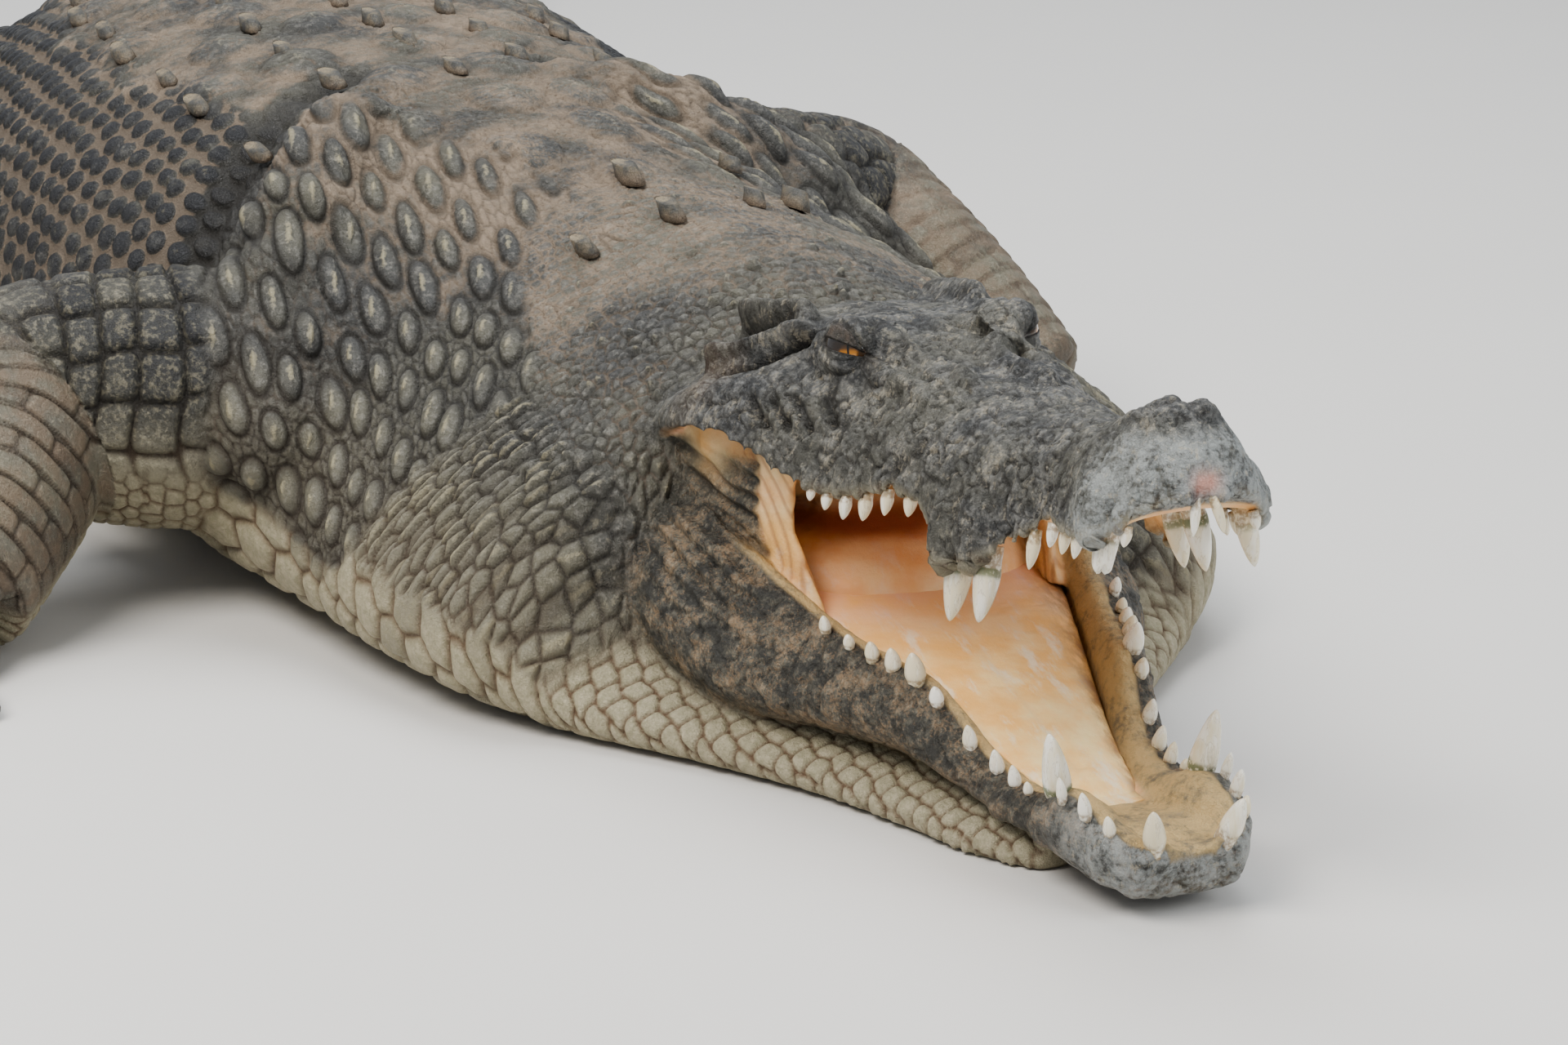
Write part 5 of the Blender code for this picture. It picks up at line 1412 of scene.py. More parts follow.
def build_teeth(finish):
    for name, table, width, margin, pitch, way in (
            ("upper_teeth", UPPER_TEETH, SNOUT_WIDTH, UPPER_LIP, HEAD_UP, -1),
            ("lower_teeth", LOWER_TEETH, JAW_WIDTH, JAW_TOP, -JAW_DOWN, 1)):
        (points, faces), marks = tooth_forms(table, width, margin, pitch, way)
        finished(mesh_piece(name, points, faces, finish, None, {"tooth": marks}), "claw")


def build_tongue(finish):
    points, faces = loft([tongue_ring(b) for b in np.linspace(0.2, 0.8, 260)])
    normals = point_normals(points, faces)
    back, side, _ = head_frame(points, -JAW_DOWN)
    middle = stroke(np.stack([back, side, 0 * back], -1), ((0.3, 0.002, 0), (0.7, -0.002, 0)), 0.008)
    lift = (0.0012 * layered(points, 0.03, 41, 3) + 0.0005 * layered(points * (1, 2.5, 1), 0.006, 45, 2)
            - 0.002 * middle)
    points = points + normals * (lift * ramp(normals[:, 2], 0, 0.5))[:, None]
    marks = np.stack([ramp(back, 0.5, 0.85), ramp(side / tongue_half(back), 0.66, 0.95), back], -1)
    finished(mesh_piece("tongue_flesh", points, faces, finish, None, {"tongue": marks}), "mouth", "tongue")


def build_eyes(finish):
    radius, flat = EYE_RADIUS * SKULL, 0.985
    for name, side in SIDES.items():
        centre = head_place(EYE_BACK, side * EYE_SIDE, EYE_UP, HEAD_UP)
        ahead, aside = (0.86, 0.5) if side < 0 else (0.5, 0.86)
        gaze = unit(HEAD_AXES.T @ np.array((ahead, side * aside, -0.04)))
        above = unit(HEAD_AXES[2] - (HEAD_AXES[2] @ gaze) * gaze)
        across = np.cross(gaze, above)
        points, faces = ball(centre, np.full(3, radius * flat), (gaze, across, above), 65, 64)
        way = (points - centre) / radius
        facing = way @ gaze
        points = points + way * (0.0006 * ramp(facing, 0.6, 0.9))[:, None]
        spread = np.arccos(np.clip(facing / flat, -1, 1)) / math.pi
        marks = np.stack([spread, 0.5 + 0.5 * (way @ across), 0.5 + 0.5 * (way @ above)], -1)
        piece = mesh_piece(f"eyeball_{name}", points, faces, finish, None, {"iris": marks})
        finished(piece, "eye", f"eye_{name}")


def build_claws(finish):
    steps, count, up = CLAW_STEPS, 18, np.array((0, 0, 1))
    t = np.clip(steps, 0, 1)
    drop = 0.06 * np.sin(t * math.pi * 0.7) - 0.3 * t**2.2
    turn = circle(count)[:, None]
    share = np.clip(np.concatenate([np.repeat(steps, count), steps[[0, -1]]]), 0, 1)
    for plans, limb, plan in ((FORELEG, "hand", HAND), (HINDLEG, "foot", FOOT)):
        for name, (joints, toes) in plans.items():
            forms = []
            for centre, out, radius in paw_forms(plan, joints[2], toes)[1]:
                across = np.cross(out, up)
                along_claw, down_claw = (CLAW_LENGTH * (steps * 1.02))[:, None], (CLAW_LENGTH * drop)[:, None]
                middle = centre + out * along_claw + up * down_claw
                size = radius * 1.25 * (1 - t**1.6) ** 0.6
                spokes = across * 0.85 * np.cos(turn) + 1.05 * up * np.sin(turn)
                rings = middle[:, None] + size[:, None, None] * spokes
                rings[..., 2] = np.maximum(rings[..., 2], 0.0008)
                forms.append(loft(rings))
            marks = np.stack([np.tile(share, len(forms))] * 3, -1)
            nodes = [f"claw_{limb}_{name}_{number + 1}" for number in range(len(forms))]
            piece = mesh_piece(f"claws_{limb}_{name}", *merged(forms), finish, None, {"tooth": marks})
            finished(piece, "claw", *nodes)


def scatter_tree(title):
    """Geometry nodes that set a shape on points, turned and sized by each point's own values."""
    tree = bpy.data.node_groups.new(title, "GeometryNodeTree")
    add_sockets(tree, "INPUT", "Geometry", "Geometry")
    add_sockets(tree, "INPUT", "Object", "Shape")
    add_sockets(tree, "INPUT", "Float", "Size", "Unevenness")
    add_sockets(tree, "INPUT", "Int", "Seed")
    add_sockets(tree, "INPUT", "Material", "Finish")
    add_sockets(tree, "OUTPUT", "Geometry", "Geometry")
    p = Painter(tree)
    given = p.node("NodeGroupInput").outputs
    points = p.named("GeometryNodeMeshToPoints", {"Mesh": given["Geometry"]})
    shape = p.named("GeometryNodeObjectInfo", {"Object": given["Shape"]})
    turn, size = (p.named("GeometryNodeInputNamedAttribute", {"Name": name}, data_type="FLOAT_VECTOR")
                  for name in ("turn", "size"))
    uneven = p.named("FunctionNodeRandomValue", {"Seed": given["Seed"]}, data_type="FLOAT")
    for operation, socket in (("SUBTRACT", uneven.inputs[2]), ("ADD", uneven.inputs[3])):
        p.put(p.math(operation, 1, given["Unevenness"]), socket)
    scale = p.scaled(p.scaled(size.outputs["Attribute"], uneven.outputs[1]), given["Size"])
    place = p.named("GeometryNodeInstanceOnPoints",
                    {"Points": points.outputs[0], "Instance": shape.outputs["Geometry"],
                     "Rotation": turn.outputs["Attribute"], "Scale": scale})
    real = p.node("GeometryNodeRealizeInstances", place.outputs[0])
    paint = p.named("GeometryNodeSetMaterial", {"Geometry": real.outputs[0], "Material": given["Finish"]})
    p.node("NodeGroupOutput", paint.outputs[0])
    return tree


def scattered(name, shape, places, turns, sizes, values, finish):
    """One plain mesh of a shape set at many places."""
    points, faces = shape
    up = points[:, 2]
    marks = {"form": np.stack([ramp(up, 0.0, 0.5), ramp(up, 0.5, 1.0), 0 * up], -1)}
    pattern = mesh_piece(f"{name}_pattern", points - HINGE, faces, None, None, marks)
    seeds = bpy.data.meshes.new(name)
    seeds.vertices.add(len(places))
    seeds.vertices.foreach_set("co", (places + HINGE).astype(np.float32).ravel())
    for title, rows in (("turn", turns), ("size", sizes)):
        layer = seeds.attributes.new(title, "FLOAT_VECTOR", "POINT")
        layer.data.foreach_set("vector", np.asarray(rows, np.float32).ravel())
    holder = bpy.data.objects.new(f"{name}_places", seeds)
    bpy.context.scene.collection.objects.link(holder)
    step = holder.modifiers.new("scatter", "NODES")
    step.node_group = scatter_tree(f"scatter {name}")
    wanted = {"Shape": pattern, "Size": values.size, "Unevenness": values.unevenness, "Seed": values.seed,
              "Finish": finish}
    for socket in step.node_group.interface.items_tree:
        if socket.in_out == "INPUT" and socket.name in wanted:
            step[socket.identifier] = wanted[socket.name]
    graph = bpy.context.evaluated_depsgraph_get()
    mesh = bpy.data.meshes.new_from_object(holder.evaluated_get(graph))
    mesh.name = name
    spots = np.empty(3 * len(mesh.vertices), np.float32)
    mesh.vertices.foreach_get("co", spots)
    spots = np.clip(spots.reshape(-1, 3), ROOM_LOW + HINGE, ROOM_HIGH + HINGE)
    mesh.vertices.foreach_set("co", spots.astype(np.float32).ravel())
    holder.modifiers.clear()
    for helper in (holder, pattern):
        bpy.data.objects.remove(helper)
    if not mesh.materials:
        mesh.materials.append(finish)
    mesh.polygons.foreach_set("use_smooth", np.ones(len(mesh.polygons), bool))
    made = bpy.data.objects.new(name, mesh)
    bpy.context.scene.collection.objects.link(made)
    finished(made, "hide")


def knob_shape():
    """A blunt, rounded blade, a unit long, wide and tall, that leans back a little."""
    turn = circle(14)
    rings = []
    for angle in np.linspace(-0.2, 0.96, 8) * math.pi / 2:
        r, up = math.cos(angle) ** 0.55, math.sin(angle)
        above = max(up, 0)
        x = 0.5 * r * np.cos(turn) * (1 - 0.1 * above) - 0.5 * above**1.2 + 0.15
        y = 0.5 * r * (1 - 0.35 * above) * np.sin(turn)
        z = up * (1 + 0.07 * np.cos(turn * 3 + 1) - 0.14 * np.cos(turn))
        rings.append(np.stack([x, y, z], -1))
    return loft(rings)


def flap_shape():
    """An upright crest scute, a unit long, wide and tall: steep behind, sloping in front."""
    turn = circle(12)
    rings = []
    for height in (-0.35, -0.1, 0.12, 0.35, 0.58, 0.78, 0.92, 1.0):
        share = max(height, 0)
        x = (0.56 * (1 - share**1.25) + 0.07) * np.cos(turn) - 0.42 * share**1.1
        y = 0.5 * (1 - 0.72 * share**0.7) * np.sin(turn) * (1 - 0.3 * np.abs(np.cos(turn)))
        rings.append(np.stack([x, y, np.full(len(turn), height)], -1))
    return loft(rings)


def knob_rows():
    """Where the keels of the back stand, with their sizes: (way back, side, length, width, height)."""
    rows = [(at, side, 0.034, 0.018, 0.036) for at, side in NAPE_KNOBS]
    for j, side in enumerate((-0.21, -0.105, -0.008, 0.082, 0.18)):
        for i in range(10):
            spot = np.float64(i), np.float64(j)
            at = 0.61 + 0.1 * i + (0.05 if j % 2 else 0) + 0.02 * (chance(*spot) - 0.5)
            across = (side + 0.014 * (chance(*spot, seed=2) - 0.5)) * (1 - 0.35 * ramp(at, 1.1, 1.6))
            rows.append((at, across, 0.036, 0.018, 0.024))
    return np.array(rows, float)


def turned(way, normal):
    """Euler turns that lay a shape's X against the way back and its Z up the skin."""
    turns = []
    for w, n in zip(way, normal):
        z = Vector(n)
        y = z.cross(Vector((-w[0], -w[1], 0))).normalized()
        turns.append(tuple(Matrix((y.cross(z).normalized(), y, z)).transposed().to_euler()))
    return turns


def build_knobs(values, finish):
    rows = knob_rows()
    place, way, _, normal = body_place(rows[:, 0], rows[:, 1])
    scattered("back_keels", knob_shape(), place + normal * 0.002, turned(way, normal), rows[:, 2:], values,
              finish)


def build_crest(values, finish):
    places, turns, sizes = [], [], []
    for side in (1, -1):
        at = 1.34
        while at < CREST_MERGE - 0.03:
            point, way, _, normal = body_place(at, side * float(along(CREST_SPREAD, at)))
            tall = float(along(CREST_HEIGHT, at)) * (1.0 if at > CREST_START else 0.9)
            places.append(point[0])
            turns += turned(way, [unit(normal[0] * 0.35 + np.array((0, 0, 0.65)))])
            sizes.append((CREST_PITCH * 0.92, 0.02, max(tall, 0.012)))
            at += CREST_PITCH
    at = CREST_MERGE
    while at < TAIL_END - 0.05:
        point, way, _, _ = body_place(at, 0.0)
        places.append(point[0])
        turns += turned(way, [(0, 0, 1)])
        sizes.append((0.06 * (1 - 0.35 * ramp(at, 3.2, 3.8)), 0.014, float(along(CREST_HEIGHT, at)) * 0.95))
        at += 0.054
    scattered("tail_crest", flap_shape(), np.array(places), turns, sizes, values, finish)


# Finishes.

def grain_group():
    """Fine skin grain: a height for bumps, cracks and pale flecks."""
    tree = bpy.data.node_groups.new("skin grain", "ShaderNodeTree")
    add_sockets(tree, "INPUT", "Float", "Coarseness", "Fleck Amount")
    add_sockets(tree, "OUTPUT", "Float", "Height", "Fleck", "Crack")
    p = Painter(tree)
    given, where = p.node("NodeGroupInput").outputs, p.place()
    fine = p.math("DIVIDE", 1.0, given["Coarseness"])
    rough = p.noise(where, fine, 6.0, 0.62)
    shift = p.named("ShaderNodeTexNoise", {"Vector": where, "Scale": p.math("MULTIPLY", fine, 0.6)})
    warp = p.node("ShaderNodeVectorMath", where, p.scaled(shift.outputs["Color"], 0.004), operation="ADD")
    web = p.named("ShaderNodeTexVoronoi", {"Vector": warp.outputs[0], "Scale": p.math("MULTIPLY", fine, 1.4)},
                  feature="DISTANCE_TO_EDGE")
    crack = p.rest(p.step(web.outputs["Distance"], 0.0, 0.09))
    height = p.math("SUBTRACT", rough, p.times(crack, 0.14))
    flakes = p.noise(where, p.math("MULTIPLY", fine, 1.9), 5.0, 0.7)
    fleck = p.step(p.plus(flakes, p.times(given["Fleck Amount"], 0.3)), 0.68, 0.78)
    p.node("NodeGroupOutput", height, fleck, crack)
    return tree


def dust_group():
    """Dried mud: thick in the grooves, worn off the tops, in streaks and patches."""
    tree = bpy.data.node_groups.new("dried mud", "ShaderNodeTree")
    add_sockets(tree, "INPUT", "Float", "Amount", "Top")
    add_sockets(tree, "OUTPUT", "Float", "Mask")
    p = Painter(tree)
    given, where = p.node("NodeGroupInput").outputs, p.place()
    patch = p.noise(where, 14.0, 5.0, 0.6)
    streak = p.noise(where, 60.0, 5.0, 0.65, (1.0, 0.45, 1.0))
    blend = p.plus(p.times(patch, 0.55), p.times(streak, 0.45))
    worn = p.math("SUBTRACT", 1.15, p.times(given["Top"], 0.5))
    level = p.math("MULTIPLY", given["Amount"], worn)
    p.node("NodeGroupOutput", p.step(p.plus(blend, p.math("SUBTRACT", level, 0.5)), 0.38, 0.66))
    return tree


def group_node(p, tree, **values):
    given = {name.replace("_", " "): value for name, value in values.items()}
    return p.named("ShaderNodeGroup", given, node_tree=tree).outputs


def finish_base(name, roughness=0.5):
    made = bpy.data.materials.new(name)
    made.use_nodes = True
    shader = made.node_tree.nodes["Principled BSDF"]
    shader.inputs["Roughness"].default_value = roughness
    return made, Painter(made.node_tree), shader


def bumped(p, shader, height, distance, strength=1.0):
    bump = p.named("ShaderNodeBump", {"Strength": strength, "Distance": distance, "Height": height})
    p.put(bump.outputs[0], shader.inputs["Normal"])


def palette(colours):
    """The set colours, by their plain names."""
    names = [name for name in colours.bl_rna.properties.keys() if name.startswith("c_")]
    return SimpleNamespace(**{name[2:]: tuple(getattr(colours, name)) for name in names})


def hide_finish(c, grain, dust):
    made, p, shader = finish_base("crocodile hide")
    where = p.place()
    top, keel, black = p.marks("form")
    dusty, pale, warm = p.marks("cover")
    lining, pink, shelf = p.marks("mouth")
    face, jaw, frost = p.marks("face")
    skin = group_node(p, grain, Coarseness=0.0035, Fleck_Amount=0.35)
    mud = group_node(p, dust, Amount=dusty, Top=top)
    broad = p.noise(where, 9.0, 4.0)
    patch = p.noise(where, 38.0, 6.0, 0.65)
    fine = p.noise(where, 170.0, 5.0, 0.65)
    grit = p.noise(where, 420.0, 4.0, 0.7)
    mottle = p.plus(p.times(patch, 0.5), p.times(fine, 0.5))
    colour = p.mix(p.step(broad, 0.35, 0.65), c.grey, c.olive)
    colour = p.mix(p.times(p.step(fine, 0.45, 0.7), 0.55), colour, c.light_grey)
    colour = p.mix(p.times(face, 0.9), colour, p.mix(p.step(mottle, 0.4, 0.64), c.head, c.head_light))
    colour = p.mix(p.times(face, p.step(broad, 0.42, 0.62), 0.5), colour, c.olive)
    colour = p.mix(p.times(jaw, 0.95), colour, p.mix(p.step(mottle, 0.42, 0.62), c.jaw, c.jaw_light))
    rub = p.step(p.plus(p.times(patch, 0.7), p.times(grit, 0.6)), 0.62, 0.78)
    colour = p.mix(p.times(jaw, rub, 0.8), colour, c.tan)
    colour = p.mix(pale, colour, p.mix(p.step(fine, 0.3, 0.7), c.pale, c.pale_olive))
    colour = p.mix(p.times(black, p.step(patch, 0.25, 0.5)), colour, c.black)
    flaky = p.step(p.plus(fine, p.times(keel, 0.45)), 0.62, 0.8)
    colour = p.mix(p.times(flaky, keel), colour, c.keel)
    rusty = p.times(p.step(p.plus(patch, p.times(warm, 0.35)), 0.5, 0.8), warm)
    colour = p.mix(rusty, colour, c.rust)
    colour = p.mix(mud["Mask"], colour, p.mix(fine, c.dust, c.dust_light))
    # Painted shade: where the top mark is low, in grooves, cracks, folds and slits, the colour darkens
    # towards the groove colours, less under mud.
    gap = p.rest(top)
    colour = p.mix(p.times(gap, p.rest(p.times(mud["Mask"], 0.35)), 0.95), colour,
                   p.mix(pale, c.groove, c.groove_warm))
    lines = p.noise(where, 210.0, 4.0, 0.7, (1.0, 0.6, 0.45))
    sown = p.step(p.plus(p.times(lines, 0.8), p.times(patch, 0.45)), 0.66, 0.78)
    speck = p.math("MAXIMUM", p.times(skin["Fleck"], p.step(patch, 0.4, 0.7)), p.times(sown, 0.5))
    speck = p.times(speck, p.plus(p.times(face, 0.8), p.times(jaw, 0.5)), p.rest(lining))
    colour = p.mix(speck, colour, c.cream)
    colour = p.mix(p.times(frost, p.step(mottle, 0.36, 0.56), 0.8), colour, c.frost)
    colour = p.mix(p.times(frost, p.step(lines, 0.56, 0.7), 0.6), colour, c.cream)
    colour = p.mix(p.times(pink, face, 0.8), colour, c.pink)
    film = p.noise(where, 30.0, 6.0, 0.7, (0.5, 1.5, 1.0))
    flesh = p.mix(p.step(p.noise(where, 22.0, 4.0), 0.35, 0.68), c.lining, c.lining_light)
    flesh = p.mix(p.times(p.step(film, 0.52, 0.7), 0.5), flesh, c.film)
    flesh = p.mix(p.times(pink, p.step(p.noise(where, 16.0, 3.0), 0.25, 0.6)), flesh, c.pink)
    # Brown orange where the warm mark is: partly the cheek web's own colour, partly painted shade under the
    # lip and on the upper fold at the back of the mouth.
    flesh = p.mix(p.times(warm, 0.85), flesh, c.cheek)
    # Painted shade in the folds and creases of the mouth: dark red where the top mark is low.
    flesh = p.mix(p.times(gap, 0.85), flesh, c.crease)
    worn = p.step(p.plus(p.times(patch, 0.6), p.times(fine, 0.4)), 0.44, 0.68)
    ledge = p.mix(worn, c.shelf, c.jaw_light)
    colour = p.mix(shelf, colour, ledge)
    colour = p.mix(lining, colour, flesh)
    p.put(colour, shader.inputs["Base Color"])
    rough = p.plus(p.math("SUBTRACT", 0.46, p.times(face, 0.13)), p.times(mud["Mask"], 0.4))
    rough = p.math("SUBTRACT", rough, p.times(black, p.rest(mud["Mask"]), 0.16))
    rough = p.math("SUBTRACT", rough, p.times(lining, 0.12))
    rough = p.plus(rough, p.times(fine, 0.1), True)
    p.put(rough, shader.inputs["Roughness"])
    height = p.plus(skin["Height"], p.plus(p.times(fine, 0.5), p.times(grit, 0.2)))
    soft = p.rest(p.times(lining, 0.75))
    bumped(p, shader, p.times(height, soft), 0.0024, 1.0)
    return made


def horn_finish(name, c, grain, dust, dusty):
    """Keels, crest scutes: dark horn with a pale, worn top and mud round its foot."""
    made, p, shader = finish_base(name)
    where = p.place()
    low, high = p.marks("form")[:2]
    skin = group_node(p, grain, Coarseness=0.003, Fleck_Amount=0.4)
    mud = group_node(p, dust, Amount=dusty, Top=low)
    patch = p.noise(where, 90.0, 5.0, 0.65)
    colour = p.mix(p.step(patch, 0.35, 0.65), c.grey, c.olive)
    worn = p.step(p.plus(patch, p.times(high, 0.35)), 0.5, 0.8)
    colour = p.mix(p.times(p.step(patch, 0.4, 0.7), 0.35), colour, c.rust)
    colour = p.mix(p.times(worn, p.math("MAXIMUM", high, 0.2), 0.9), colour, p.mix(patch, c.rust, c.keel))
    colour = p.mix(p.times(mud["Mask"], p.rest(low)), colour, c.dust)
    colour = p.mix(p.times(skin["Crack"], 0.6), colour, c.groove)
    p.put(colour, shader.inputs["Base Color"])
    p.put(p.plus(0.5, p.times(mud["Mask"], 0.35)), shader.inputs["Roughness"])
    bumped(p, shader, skin["Height"], 0.0015, 0.9)
    return made


def tooth_finish(c):
    made, p, shader = finish_base("ivory", 0.26)
    where = p.place()
    share, luck, size = p.marks("tooth")
    fine = p.noise(where, 260.0, 5.0, 0.6)
    streak = p.noise(where, 120.0, 4.0, 0.6, (1.0, 1.0, 0.18))
    colour = p.mix(p.step(p.plus(streak, p.times(luck, 0.2)), 0.45, 0.75), c.ivory, c.ivory_warm)
    root = p.rest(p.step(share, 0.02, 0.2))
    colour = p.mix(p.times(root, p.step(fine, 0.35, 0.6), 0.7), colour, c.stain)
    band = p.times(p.step(share, 0.0, 0.05), p.rest(p.step(p.plus(share, p.times(streak, 0.16)), 0.22, 0.32)))
    colour = p.mix(p.times(band, size, p.step(fine, 0.3, 0.5), 0.85), colour, c.green)
    line = p.rest(p.step(p.math("ABSOLUTE", p.math("SUBTRACT", streak, 0.5)), 0.0, 0.02))
    colour = p.mix(p.times(line, 0.3), colour, c.stain)
    p.put(colour, shader.inputs["Base Color"])
    p.put(p.plus(0.22, p.times(band, size, 0.3)), shader.inputs["Roughness"])
    shader.inputs["Subsurface Weight"].default_value = 0.12
    shader.inputs["Subsurface Radius"].default_value = (0.004, 0.003, 0.002)
    shader.inputs["Subsurface Scale"].default_value = 1.0
    bumped(p, shader, p.plus(streak, p.times(fine, 0.3)), 0.0006, 0.4)
    return made


def claw_finish(c):
    made, p, shader = finish_base("claw horn", 0.35)
    where = p.place()
    share = p.marks("tooth")[0]
    streak = p.noise(where, 150.0, 5.0, 0.6)
    colour = p.mix(p.step(p.plus(streak, p.times(share, 0.3)), 0.45, 0.85), c.claw, c.keel)
    p.put(colour, shader.inputs["Base Color"])
    bumped(p, shader, streak, 0.0008, 0.5)
    return made


def tongue_finish(c, grain):
    made, p, shader = finish_base("tongue", 0.36)
    where = p.place()
    rear, aside, _ = p.marks("tongue")
    skin = group_node(p, grain, Coarseness=0.004, Fleck_Amount=0.1)
    wide = p.noise(where, 18.0, 4.0)
    streak = p.noise(where, 34.0, 6.0, 0.7, (0.5, 1.6, 1.0))
    colour = p.mix(p.step(wide, 0.35, 0.68), c.lining, c.lining_light)
    colour = p.mix(p.times(p.step(streak, 0.5, 0.66), 0.75), colour, c.film)
    colour = p.mix(p.times(rear, p.step(wide, 0.25, 0.6), 0.8), colour, c.pink)
    colour = p.mix(p.times(aside, p.step(streak, 0.3, 0.6), 0.85), colour, c.cheek)
    p.put(colour, shader.inputs["Base Color"])
    p.put(p.plus(0.3, p.times(streak, 0.2)), shader.inputs["Roughness"])
    shader.inputs["Subsurface Weight"].default_value = 0.1
    shader.inputs["Subsurface Radius"].default_value = (0.01, 0.004, 0.002)
    bumped(p, shader, p.plus(skin["Height"], streak), 0.0008, 0.5)
    return made


def eye_finish(c):
    made, p, shader = finish_base("eyeball", 0.08)
    where = p.place()
    spread, across, rise = p.marks("iris")
    offset = p.math("ABSOLUTE", p.math("SUBTRACT", across, 0.5))
    tall = p.rest(p.step(p.math("ABSOLUTE", p.math("SUBTRACT", rise, 0.5)), 0.16, 0.24))
    slit = p.times(p.rest(p.step(offset, 0.012, 0.026)), tall)
    fibre = p.noise(where, 700.0, 4.0, 0.6)
    iris = p.mix(p.step(p.plus(p.times(fibre, 0.08), spread), 0.12, 0.17), c.amber, c.amber_dark)
    colour = p.mix(p.step(spread, 0.2, 0.235), iris, c.eye_white)
    # Painted shadow of the upper lid: the upper half of the eyeball is darkened.
    colour = p.mix(p.times(p.step(rise, 0.5, 0.6), 0.9), colour, c.eye_white)
    colour = p.mix(slit, colour, (0.004, 0.004, 0.004))
    p.put(colour, shader.inputs["Base Color"])
    shader.inputs["Coat Weight"].default_value = 1.0
    shader.inputs["Coat Roughness"].default_value = 0.02
    return made


def finishes(colours):
    """All the finishes, made once and found again by name."""
    made = {m["stands_for"]: m for m in bpy.data.materials if m.get("stands_for")}
    if not made:
        c, grain, dust = palette(colours), grain_group(), dust_group()
        made = {"hide": hide_finish(c, grain, dust), "keels": horn_finish("keel horn", c, grain, dust, 0.5),
                "crest": horn_finish("crest horn", c, grain, dust, 0.4), "teeth": tooth_finish(c),
                "claws": claw_finish(c), "tongue": tongue_finish(c, grain), "eyes": eye_finish(c)}
        for name, finish in made.items():
            finish["stands_for"] = name
    return made


# Sizes and colours that a user would change.

class CROC_PG_hide(bpy.types.PropertyGroup):
    skin_size: FloatProperty(name="Skin size", default=0.0042, min=0.003, max=0.02, unit="LENGTH",
                             description="Distance between the points of the skin before it is refined")
    relief: FloatProperty(name="Relief", default=1.0, min=0, max=2, subtype="FACTOR",
                          description="How strongly scales, keels and folds stand out")


class CROC_PG_scutes(bpy.types.PropertyGroup):
    size: FloatProperty(name="Size", default=1.0, min=0.3, max=2,
                        description="Size of each scute against its set size")
    unevenness: FloatProperty(name="Unevenness", default=0.14, min=0, max=0.5, subtype="FACTOR",
                              description="How much the scutes differ in size")
    seed: IntProperty(name="Seed", description="Picks one set of uneven sizes", default=7, min=0)


def tint(title, told, value):
    return FloatVectorProperty(name=title, description=told, default=value, size=3, min=0, max=1,
                               subtype="COLOR")


